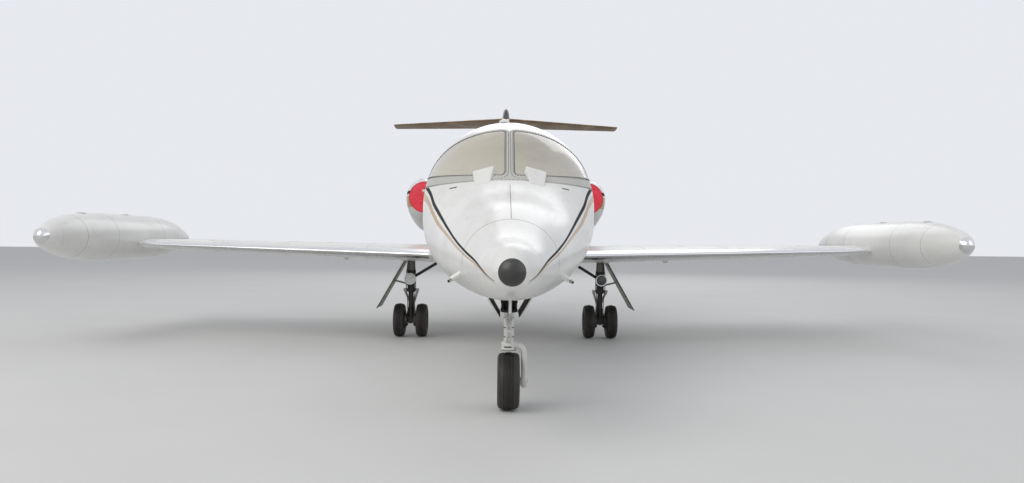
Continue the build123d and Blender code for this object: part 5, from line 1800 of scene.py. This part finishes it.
@dataclass
class NoseGear:
    """The nose leg: its steering unit, collar, smooth fork arm and torque arms."""

    station: float = 1.70
    axle: float = 0.220
    tube_radius: float = 0.038
    collar_radius: float = 0.055
    arm_x: float = 0.117
    arm_half: tuple[float, float] = (0.021, 0.045)
    links: tuple[float, float, float] = (0.700, 0.610, 0.500)
    ring_heights: tuple[float, ...] = (0.701, 0.626, 0.556)

    def fork(self) -> Shape:
        """Tube, collar, arm and axle as one casting."""
        shape = Shape("nose_fork_casting")
        foot = (0.0, at(self.station), 0.0)
        r = self.collar_radius
        tube = self.tube_radius
        shape.turned([(0.470, 0.0), (0.470, tube), (0.7397, tube), (0.7397, 0.0)], foot, (0, 0, 1))
        shape.turned([
            (0.457, 0.0), (0.457, r + 0.002), (0.460, r + 0.004), (0.468, r + 0.004), (0.471, r), (0.514, r),
            (0.519, r - 0.004), (0.520, tube), (0.528, tube), (0.528, 0.0),
        ], foot, (0, 0, 1), 48)
        turn_x, turn_z, bend = self.arm_x - 0.062, 0.433, 0.062
        spine = [(0.020, turn_z + bend, 0.0), (turn_x, turn_z + bend, 0.0)]
        spine += [(turn_x + bend * sin(a), turn_z + bend * cos(a), a) for a in spread(0.15, pi / 2, 9)]
        spine += [(self.arm_x, 0.36, pi / 2), (self.arm_x, 0.275, pi / 2), (self.arm_x, 0.250, pi / 2)]
        wide, deep = self.arm_half
        rings = [self.section(x, z, a, wide, deep) for x, z, a in spine]
        for z, grow in ((0.240, 0.003), (0.186, 0.003), (0.176, -0.004)):
            rings.append(self.section(self.arm_x, z, pi / 2, wide + grow, deep + grow))
        shape.grid(rings)
        shape.turned([(-0.060, 0.0), (-0.060, 0.027), (0.10, 0.027), (0.10, 0.0)],
                     (0, at(self.station), self.axle), (1, 0, 0), 32)
        return shape

    def section(self, x: float, z: float, turn: float, wide: float, deep: float) -> list[Vector]:
        """A rounded oblong across the arm at a point of its spine, turned in the x-z plane."""
        ring = []
        for i in range(28):
            a = 2 * pi * i / 28
            across = copysign(abs(cos(a)) ** 0.55, cos(a)) * wide
            along = copysign(abs(sin(a)) ** 0.55, sin(a)) * deep
            out = Vector((sin(turn), 0, cos(turn)))
            ring.append(Vector((x, at(self.station), z)) + out * across + Vector((0, along, 0)))
        return ring

    def arms(self) -> Shape:
        """The torque arms in front of the tube."""
        shape = Shape("nose_torque_arms")
        top, middle, foot = self.links
        y = at(self.station)
        knee = Vector((0, y - 0.135, middle))
        for height in (top, foot):
            root = Vector((0, y - 0.030, height))
            for side in (-1, 1):
                ends = [root + Vector((side * 0.020, 0, 0)), knee + Vector((side * 0.009, 0, 0))]
                shape.tube(ends, [0.010, 0.008], 12)
            shape.bar(root, (0.030, 0, 0), 0.0125)
        shape.bar(knee, (0.018, 0, 0), 0.0125)
        return shape

    def unit(self) -> Shape:
        """The dark steering unit round the foot of the fixed leg, with its two small cylinders."""
        shape = Shape("steering_unit")
        foot = Vector((0.0, at(self.station), 0.0))
        shape.turned([
            (0.7405, 0.040), (0.7405, 0.054), (0.746, 0.058), (0.772, 0.058), (0.777, 0.053), (0.806, 0.053),
            (0.811, 0.0585), (0.838, 0.0585), (0.843, 0.0525), (0.843, 0.040),
        ], foot, (0, 0, 1), 32)
        for side in (-1, 1):
            for rise, length in ((0.760, 0.075), (0.822, 0.060)):
                shape.bar(foot + Vector((side * 0.050, 0, rise)), (0, length, 0), 0.015, 14)
            shape.block(
                (side * 0.050 - 0.010, foot.y - 0.062, 0.770), (side * 0.050 + 0.010, foot.y - 0.044, 0.815),
            )
        return shape

    def marks(self) -> Shape:
        """Dark rings, the slot in the collar, and a painted shade line under its flange."""
        shape = Shape("nose_leg_marks")
        foot = Vector((0.0, at(self.station), 0.0))
        for height in self.ring_heights:
            low, high = height - 0.003, height + 0.003
            shape.turned([(low, 0.036), (low, 0.0398), (high, 0.0398), (high, 0.036)], foot, (0, 0, 1), 40)
        # painted shade: a dark band right under the collar's flange, where its shadow falls
        shape.turned([(0.4535, 0.030), (0.4535, 0.0575), (0.457, 0.0575), (0.457, 0.030)], foot, (0, 0, 1), 40)
        arc = [asin(x / self.collar_radius) for x in spread(-0.036, 0.021, 10)]
        rim = [Vector((sin(a), -cos(a), 0)) for a in arc]
        slot = [(foot + out * self.collar_radius + Vector((0, 0, 0.4815)), out) for out in rim]
        ribbon(shape, slot, -0.005, 0.005, 0.001)
        shape.block((-0.0105, foot.y - 0.0392, 0.690), (-0.0075, foot.y - 0.036, 0.738))
        return shape

    def build(self) -> None:
        """Make the leg's pieces."""
        self.fork().finish(GEAR_WHITE, Body.NOSE_STEER, "white_alloy", angle=40, replaces=["nose_fork"])
        self.arms().finish(GEAR_WHITE, Body.NOSE_STEER, "white_alloy")
        self.marks().finish(GEAR_BLACK, Body.NOSE_STEER, "black_alloy")
        self.unit().finish(GEAR_BLACK, Body.AIRFRAME, "black_alloy", bevel=0.002)
        pin = Shape("tow_pin")
        place = (self.arm_x + 0.022, at(self.station), self.axle)
        pin.turned([(0.0, 0.009), (0.0, 0.015), (0.004, 0.015), (0.004, 0.009)], place, (1, 0, 0))
        pin.finish(DARK_STEEL, Body.NOSE_STEER, "bare_metal")


@dataclass
class Wing:
    """Polished leading edges, joints, rivets, caps and wicks on both wings."""

    root: tuple[float, float] = (5.153, 2.740)
    tip: tuple[float, float] = (6.550, 1.550)
    heights: tuple[float, float] = (1.090, 1.195)
    tip_x: float = 4.840
    thickness: float = 0.09
    crest: float = 0.45
    span: tuple[float, float] = (0.93, 4.78)
    edge_share: float = 0.055
    skin: Surface = field(default_factory=lambda: Surface("wing_left"))

    def place(self, x: float, share: float) -> tuple[float, float, float]:
        """Station, height and chord of the wing at x, for a share of its chord."""
        part = x / self.tip_x
        lead = self.root[0] + (self.tip[0] - self.root[0]) * part
        chord = self.root[1] + (self.tip[1] - self.root[1]) * part
        return lead + share * chord, self.heights[0] + (self.heights[1] - self.heights[0]) * part, chord

    def leading_edge(self) -> Shape:
        """A bright sheath wrapped round the leading edge."""
        shape = Shape("leading_edge")
        limit = acos(1 - self.edge_share / self.crest)
        rings = []
        for x in spread(*self.span, 24):
            station, height, chord = self.place(x, 0)
            deep = self.thickness * chord / 2
            ring = []
            for lift, turns in ((0.0012, spread(-limit, limit, 13)), (-0.0012, spread(limit, -limit, 13))):
                for turn in turns:
                    back = self.crest * chord * (1 - cos(turn)) - lift * cos(turn)
                    ring.append((x, at(station + back), height + deep * sin(turn) + lift * sin(turn)))
            rings.append(ring)
        shape.grid(rings)
        return shape

    def across(self, share: float, first: float, last: float, sign: int, count: int = 40) -> list[Hit]:
        """A line out along the wing at a share of its chord, above or below."""
        return hits(self.skin.above(x, at(self.place(x, share)[0]), sign) for x in spread(first, last, count))

    def along(self, x: float, first: float, last: float, sign: int, count: int = 24) -> list[Hit]:
        """A line from front to back at x, above or below."""
        return hits(self.skin.above(x, at(self.place(x, s)[0]), sign) for s in spread(first, last, count))

    def build(self) -> None:
        """Make the left wing's pieces, and turn each over for the right."""
        seams, caps, wicks = Shape("wing_seams"), Shape("wing_caps"), Shape("static_wicks")
        rows = []
        for sign in (1, -1):
            for share in (0.105, 0.40):
                seam(seams, self.across(share, 0.95, 4.75, sign))
                rows.append(self.across(share + 0.010, 0.95, 4.75, sign))
            for x in (1.72, 2.83, 3.78, 4.66):
                last = 0.56 if 1.4 < x < 2.6 and sign == 1 else 0.72
                seam(seams, self.along(x, 0.06, last, sign))
                rows.append(self.along(x + 0.018, 0.115, last, sign))
            rows.append(self.across(0.735, 1.02, 4.64, sign))
            rows.append(self.across(0.56, 0.97, 4.70, sign))
        for x, share in ((2.30, 0.32), (3.95, 0.30)):
            point, normal = self.skin.above(x, at(self.place(x, share)[0]), 1)
            caps.turned([(-0.002, 0.052), (0.0008, 0.052), (0.0016, 0.050), (0.0016, 0.0)], point, normal, 40)
        for x in (3.3, 3.8, 4.3):
            station, height, chord = self.place(x, 0.995)
            wicks.tube([(x, at(station), height), (x, at(station) + 0.13, height + 0.004)], [0.0032, 0.0018], 8)
        on_both_sides([
            Pair(self.leading_edge(), POLISHED, "bare_metal"), Pair(seams, SEAM, "white_paint"),
            Pair(caps, ALLOY, "bare_metal"), Pair(wicks, TRIM, "trim_grey", "aileron"),
        ], "wing_rivets", rows, 0.040)


@dataclass
class Pods:
    """Joints, rivets, caps and lamps on the tip tanks and the nacelles."""

    tank: tuple[float, float] = (5.130, 1.283)
    tank_rings: tuple[float, ...] = (5.28, 6.00, 7.45, 8.30)
    engine: tuple[float, float] = (1.217, 1.923)
    cowl_rings: tuple[float, ...] = (8.19, 8.36, 9.02, 9.62, 10.12)
    ring_half: float = 0.0016
    lift: float = 0.0005
    beside: float = 0.016
    points: int = 72

    def hoop(self, skin: Surface, station: float, centre: tuple[float, float]) -> list[Hit]:
        """A closed ring round a pod at a station."""
        turns = [360 * i / self.points for i in range(self.points)]
        return hits(skin.round(at(station), turn, centre) for turn in turns)

    def rings(
        self, seams: Shape, skin: Surface, stations: Sequence[float], centre: tuple[float, float],
    ) -> list[list[Hit]]:
        """Joints round a pod, and the rows of rivets beside each.

        Args:
            seams: The shape that takes the joints in.
            skin: The pod's outside.
            stations: Where the joints are.
            centre: The x and z of the pod's axis.

        Returns:
            The rows.
        """
        rows = []
        for station in stations:
            seam(seams, self.hoop(skin, station, centre), self.ring_half, self.lift, closed=True)
            for shift in (-self.beside, self.beside):
                row = self.hoop(skin, station + shift, centre)
                rows.append(row + row[:1])
        return rows

    def tanks(self) -> None:
        """Joints, filler caps and position lamps on the tip tanks."""
        x, z = self.tank
        skin = Surface("tip_tank_left")
        seams, caps, lamp = Shape("tank_seams"), Shape("tank_caps"), Shape("tank_lamp")
        rows = self.rings(seams, skin, self.tank_rings, self.tank)
        for station in (5.60, 6.80):
            point, normal = skin.above(x, at(station))
            caps.turned([(-0.002, 0.055), (0.0012, 0.055), (0.0022, 0.052), (0.0022, 0.0)], point, normal, 40)
            caps.block(point + Vector((-0.030, -0.006, 0.001)), point + Vector((0.030, 0.006, 0.0075)))
        point, normal = skin.cast((x + 1, at(5.9), z + 0.03), (x, at(5.9), z + 0.03))
        lamp.tube([point + Vector((-0.012, step, 0)) for step in (-0.085, -0.080, -0.05, 0.05, 0.080, 0.085)],
                  [0.004, 0.020, 0.032, 0.032, 0.020, 0.004], 20)
        on_both_sides([
            Pair(seams, SEAM, "white_paint"), Pair(caps, ALLOY, "bare_metal"),
            Pair(lamp, BEACON, "lamp_glass", right=GREEN_LAMP),
        ], "tank_rivets", rows, 0.034)

    def nacelles(self) -> None:
        """Cowl joints, latches and rivets."""
        skin = Surface("nacelle_left")
        seams, latches = Shape("cowl_seams"), Shape("cowl_latches")
        rows = self.rings(seams, skin, self.cowl_rings, self.engine)
        for angle in (128, 232, 20):
            line = hits(skin.round(at(s), angle, self.engine) for s in spread(8.38, 10.10, 40))
            seam(seams, line, lift=self.lift)
            for station in spread(8.55, 9.95, 5):
                ends = [skin.round(at(station + d), angle, self.engine) for d in (-0.030, 0.0, 0.030)]
                ribbon(latches, hits(ends), -0.013, 0.013, 0.0022)
        pairs = [Pair(seams, SEAM, "white_paint"), Pair(latches, ALLOY, "bare_metal")]
        on_both_sides(pairs, "cowl_rivets", rows, 0.030)

    def build(self) -> None:
        """Make what is on the tanks and on the nacelles."""
        self.tanks()
        self.nacelles()


@dataclass
class Tail:
    """Joints, rivets and wicks on the fin, the tailplane and the elevators."""

    fin_rows: tuple[float, ...] = (0.12, 0.40, 0.66)
    tail_joints: tuple[float, ...] = (0.60, 1.30, 1.95)
    fin_heights: tuple[float, float] = (2.150, 3.640)
    fin_lead: tuple[float, float] = (9.690, 1.500)
    fin_chord: tuple[float, float] = (2.520, 0.940)
    plane_half: float = 2.235
    plane_lead: float = 11.450
    plane_chord: tuple[float, float] = (1.350, 0.710)

    def fin(self, height: float, share: float) -> float:
        """The y of the fin at a height, for a share of its chord."""
        low, high = self.fin_heights
        part = (height - low) / (high - low)
        (lead, sweep), (chord, taper) = self.fin_lead, self.fin_chord
        return at(lead + sweep * part + share * (chord - taper * part))

    def plane(self, x: float, share: float) -> float:
        """The y of the tailplane at x, for a share of its chord. Its leading edge sweeps one metre."""
        part = x / self.plane_half
        chord, taper = self.plane_chord
        return at(self.plane_lead + part + share * (chord - taper * part))

    def build(self) -> None:
        """Make the tail's small work."""
        fin, plane = Surface("fin"), Surface("tailplane")
        seams, wicks, rows, dark_rows = Shape("tail_seams"), [], [], []
        for side in Side:
            for share in self.fin_rows:
                rows.append(hits(fin.side(self.fin(h, share), h, side) for h in spread(2.40, 3.48, 24)))
            for height in (2.62, 3.02, 3.42):
                line = hits(fin.side(self.fin(height, s), height, side) for s in spread(0.04, 0.66, 20))
                seam(seams, line)
            for sign in (1, -1):
                for x in self.tail_joints:
                    shares = spread(0.05, 0.66, 16)
                    seam(seams, hits(plane.above(side.value * x, self.plane(x, s), sign) for s in shares))
                for share in (0.14, 0.45, 0.66):
                    dark_rows.append(hits(
                        plane.above(side.value * x, self.plane(x, share), sign) for x in spread(0.16, 2.18, 30)
                    ))
            wick = Shape(f"elevator_wicks_{side.word}")
            for x in (1.45, 1.80):
                y = self.plane(x, 0.995)
                wick.tube([(side.value * x, y, 3.575), (side.value * x, y + 0.12, 3.578)], [0.003, 0.0018], 8)
            wicks.append((wick, side))
        seams.finish(SEAM, Body.AIRFRAME, "white_paint")
        for wick, side in wicks:
            wick.finish(TRIM, f"elevator_{side.word}", "trim_grey")
        rivet_rows("fin_rivets", rows, WHITE_PLAIN, Body.AIRFRAME, "white_paint", 0.036, *FLUSH_HEAD)
        rivet_rows("tailplane_rivets", dark_rows, BRONZED, Body.AIRFRAME, "white_alloy", 0.036, *FLUSH_HEAD)


@dataclass
class CabinWork:
    """Instruments in front of the crew, and the cabin door's treads and handles."""

    panel: float = 2.86
    crew: tuple[float, float] = (-0.33, 0.33)
    treads: tuple[float, float] = (1.238, 1.428)
    door: tuple[float, float] = (3.95, 4.56)

    def dials(self) -> None:
        """Round gauges with rims and pointers, and the levers between the seats."""
        faces, rims, hands = Shape("gauge_faces"), Shape("gauge_rims"), Shape("gauge_hands")
        y = at(self.panel)
        spots = [(x + dx, 1.600 - dz, 0.040) for x in self.crew for dx in (-0.095, 0, 0.095) for dz in (0, 0.098)]
        spots += [(dx, 1.640 - dz, 0.026) for dx in (-0.10, -0.033, 0.033, 0.10) for dz in (0, 0.064, 0.128)]
        for index, (x, z, radius) in enumerate(spots):
            faces.turned([(0.0, radius), (0.002, radius), (0.002, 0.0)], (x, y, z), (0, 1, 0), 32)
            rims.turned([
                (0.0, radius), (0.0, radius + 0.003), (0.006, radius + 0.003), (0.006, radius - 0.001),
                (0.001, radius - 0.001),
            ], (x, y, z), (0, 1, 0), 32, ring=True)
            turn = index * 1.9
            tip = Vector((x + cos(turn) * radius * 0.75, y + 0.0035, z + sin(turn) * radius * 0.75))
            hands.tube([Vector((x, y + 0.0035, z)), tip], [0.0016, 0.0006], 6)
        faces.finish(DIAL, Body.AIRFRAME, "trim_grey")
        rims.finish(ALLOY, Body.AIRFRAME, "bare_metal")
        hands.finish(TAG_CLOTH, Body.AIRFRAME, "trim_grey")
        levers = Shape("power_levers")
        for x in (-0.045, -0.015, 0.015, 0.045):
            levers.tube([(x, at(3.00), 1.325), (x, at(2.985), 1.420)], 0.005, 10)
            levers.tube([(x, at(2.986), 1.405), (x, at(2.982), 1.440)], [0.012, 0.010], 12)
        levers.finish(TRIM, Body.AIRFRAME, "trim_grey")

    def entry(self) -> None:
        """Treads on the lower door's steps, and an outside handle on each door."""
        mats = Shape("step_treads")
        front, back = at(self.door[0]) + 0.075, at(self.door[1]) - 0.075
        for height in self.treads:
            mats.block((0.524, front, height), (0.630, back, height + 0.0025))
        mats.finish(CARPET, Body.DOOR_LOWER, "trim_grey")
        for body, node, height in ((Body.DOOR_UPPER, "door_upper", 1.70), (Body.DOOR_LOWER, "door_lower", 1.56)):
            skin = Surface(node)
            lever = Shape(f"{node}_handle")
            spots = [skin.side(at(4.12) + step, height, Side.LEFT) for step in (0.0, 0.035, 0.10, 0.13)]
            path = [p + n * lift for (p, n), lift in zip(spots, (-0.002, 0.016, 0.016, -0.002))]
            lever.tube(smooth(path), 0.0065, 12)
            lever.finish(CHROME, body, "chrome")

    def build(self) -> None:
        """Make the instruments and the door's work."""
        self.dials()
        self.entry()


@dataclass
class BodyFittings:
    """Small things on the body: drains, the low dome on top, probe heads and the main doors' seals."""

    drains: tuple[tuple[float, float], ...] = ((-0.39, 3.40), (-0.32, 3.10), (0.34, 3.10))
    dome: tuple[float, float] = (-0.050, 3.72)
    probe: tuple[float, float, float] = (0.402, 0.740, 1.018)
    door_edge: tuple[Point, Point] = ((1.320, 6.392, 1.000), (1.676, 6.392, 0.388))

    def edges(self) -> None:
        """Heated heads on the probes, and the seals on the main doors' front edges."""
        heads, seals = Shape("probe_heads"), Shape("main_door_seals")
        x, station, z = self.probe
        for side in Side:
            heads.turned([
                (-0.002, 0.0), (-0.002, 0.0055), (0.0, 0.0090), (0.030, 0.0128), (0.110, 0.0128), (0.112, 0.0118),
            ], (side.value * x, at(station), z), (0, 1, 0), 24)
            run = [Vector((side.value * px, at(s), pz)) for px, s, pz in self.door_edge]
            seals.tube([run[0].lerp(run[1], share) for share in spread(0.02, 1.0, 6)], 0.0055, 10)
        heads.finish(DARK_STEEL, Body.AIRFRAME, "bare_metal")
        seals.finish(SEAL, Body.AIRFRAME, "trim_grey")

    def build(self) -> None:
        """Make the drains, the dome, the probes' heads and the door seals."""
        self.edges()
        skin = Surface("cockpit_shell", "cabin_shell_upper", "cabin_shell_lower")
        drains, dome = Shape("belly_drains"), Shape("top_dome")
        for x, station in self.drains:
            point, normal = skin.above(x, at(station), -1)
            path = [point - normal * 0.01, point + Vector((0, 0.004, -0.035)), point + Vector((0, 0.020, -0.052))]
            drains.tube(path, [0.009, 0.008, 0.007], 12)
        x, station = self.dome
        point, normal = skin.above(x, at(station))
        rings = []
        for turn in spread(0.0, pi / 2, 9):
            size = cos(turn)
            rings.append([
                point + Vector((cos(a) * 0.052 * size, sin(a) * 0.105 * size, 0.042 * sin(turn) - 0.006))
                for a in (2 * pi * i / 32 for i in range(32))
            ])
        dome.grid(rings)
        drains.finish(WHITE_PLAIN, Body.AIRFRAME, "white_paint")
        dome.finish(WHITE_PLAIN, Body.AIRFRAME, "white_paint")


@dataclass
class Studio:
    """The pale floor, the soft lights, the sky and the camera."""

    eye: tuple[float, float, float] = (-0.063, -11.4665, 1.285)
    lens: float = 30.424
    yaw: float = 0.0122
    pitch: float = 0.001
    roll: float = 0.0102

    def camera(self) -> None:
        """The camera at the photograph's place and angle."""
        data = bpy.data.cameras.new("view")
        data.lens = self.lens
        data.sensor_width = 36.0
        data.sensor_fit = "HORIZONTAL"
        data.clip_end = 400.0
        camera = stand("view", data)
        ahead = Vector((sin(self.yaw), cos(self.yaw), 0))
        right = Vector((cos(self.yaw), -sin(self.yaw), 0))
        up = Vector((0, 0, 1))
        down = ahead * cos(self.pitch) - up * sin(self.pitch)
        over = up * cos(self.pitch) + ahead * sin(self.pitch)
        across = right * cos(self.roll) + over * sin(self.roll)
        upright = over * cos(self.roll) - right * sin(self.roll)
        turn = Matrix((across, upright, -down)).transposed().to_4x4()
        camera.matrix_world = Matrix.Translation(self.eye) @ turn
        bpy.context.scene.camera = camera

    def floor(self) -> None:
        """A wide pale floor with faint marks."""
        half = 90.0
        plane = Shape("floor")
        plane.grid([[(-half, -half, 0), (half, -half, 0), (half, half, 0), (-half, half, 0)]])
        del plane.faces[0]
        mesh = plane.mesh("floor")
        floor = stand("floor", mesh)
        made = bpy.data.materials.new("studio_floor")
        made.use_nodes = True
        g = Graph(made.node_tree)
        shader = made.node_tree.nodes["Principled BSDF"]
        place = g.add("ShaderNodeTexCoord").outputs["Object"]
        colour = g.blend(g.noise(place, 0.6, 4.0), (0.60, 0.60, 0.59), (0.66, 0.66, 0.65))
        g.feed(shader, Base_Color=colour, Roughness=0.75)
        mesh.materials.append(made)

    def sky(self) -> None:
        """Pale behind the object and in its reflections, and softer as a light."""
        world = bpy.data.worlds.new("studio")
        world.use_nodes = True
        bpy.context.scene.world = world
        g = Graph(world.node_tree)
        shader = world.node_tree.nodes["Background"]
        path = g.add("ShaderNodeLightPath")
        seen = g.math("MAXIMUM", path.outputs["Is Camera Ray"], path.outputs["Is Glossy Ray"])
        seen = g.math("MAXIMUM", seen, path.outputs["Is Transmission Ray"])
        strength = g.math("MULTIPLY_ADD", seen, 0.28, 0.58)
        g.feed(shader, Strength=strength, Color=(0.93, 0.95, 1.0, 1.0))

    def lamp(self, name: str, place: Point, target: Point, size: float, power: float, tint: Colour) -> None:
        """One soft square light aimed at a point."""
        data = bpy.data.lights.new(name, "AREA")
        data.shape = "SQUARE"
        data.size = size
        data.energy = power
        data.color = tint
        lamp = stand(name, data)
        lamp.location = place
        lamp.rotation_mode = "QUATERNION"
        lamp.rotation_quaternion = (Vector(target) - Vector(place)).to_track_quat("-Z", "Y")

    def build(self) -> None:
        """Set the studio up."""
        self.camera()
        self.floor()
        self.sky()
        self.lamp("key", (-12.0, -14.0, 15.0), (0, -2, 1), 17.0, 2150.0, (1.0, 0.97, 0.92))
        self.lamp("fill", (15.0, -9.0, 9.0), (0, -2, 1), 15.0, 400.0, (0.93, 0.96, 1.0))
        self.lamp("back", (3.0, 18.0, 13.0), (0, 1, 2), 14.0, 700.0, (1.0, 1.0, 1.0))
        bpy.context.scene.view_settings.view_transform = "Standard"


WORN_BY: dict[Finish, str] = {
    BLACK: "nose_cap bullet",
    SHIELD_PANE: "windshield_panes",
    CABIN_PANE: "cabin_windows door_window",
    WHITE_PLAIN: "windshield_ducts pylons belly_blades pitot_masts",
    WHITE_LINED: "cockpit_shell cabin_shell_upper cabin_shell_lower door_upper door_lower",
    LINING: "aft_bulkhead",
    CARPET: "cabin_floor",
    TRIM: "instrument_panel control_yokes",
    BRONZED: "tailplane elevator_left elevator_right",
    CHROME: "tank_nose_caps",
    DARK_STEEL: "engine_cores landing_lamps main_rims_left main_rims_right",
    HOT_STEEL: "jet_pipes",
    GEAR_WHITE: "nose_strut nose_rim",
    NOSE_LEAF: "nose_gear_doors",
    GEAR_BLACK: "main_strut_left main_strut_right",
    MAIN_LEAF: "main_gear_doors",
}
NODE_FINISHES = {node: finish for finish, nodes in WORN_BY.items() for node in nodes.split()}


def dress_nodes() -> None:
    """Give every shown node of the frame its finish."""
    for name, node in frame["nodes"].items():
        if node.hide_render:
            continue
        node.data.materials.clear()
        node.data.materials.append(NODE_FINISHES.get(name, WHITE).material())


def wheels() -> list[TurnedWheel]:
    """The three sets of wheels."""
    nose, main_leg = NoseGear(), MainGear()
    hub = (0, at(nose.station), nose.axle)
    sets = [TurnedWheel("nose_wheel", Body.NOSE_WHEEL, (hub,), "nose_tyre", 0.048, 0.085, 0.044)]
    for side in Side:
        body = Body.WHEELS_LEFT if side is Side.LEFT else Body.WHEELS_RIGHT
        reaches = [main_leg.x + sign * main_leg.wheel_offset for sign in (-1, 1)]
        centres = tuple((side.value * x, at(main_leg.station), main_leg.axle) for x in reaches)
        name = f"main_wheels_{side.word}"
        sets.append(TurnedWheel(name, body, centres, f"main_tyres_{side.word}", 0.052, 0.072, 0.040))
    return sets


def main() -> None:
    """Build every part in order and report each."""
    logging.basicConfig(level=logging.INFO, format="%(name)s: %(message)s")
    parts = [
        Studio(), Fuselage(), Windshield(), Glazing(), BodyFittings(), CabinWork(), Seats(), InletCovers(),
        NoseGear(), MainGear(), *wheels(), Wing(), Pods(), Tail(),
    ]
    for part in parts:
        before = set(bpy.data.objects)
        part.build()
        made = [o.name for o in bpy.data.objects if o not in before]
        LOG.info("%s made %s", type(part).__name__, ", ".join(sorted(made)))
    dress_nodes()


if __name__ == "__main__":
    main()
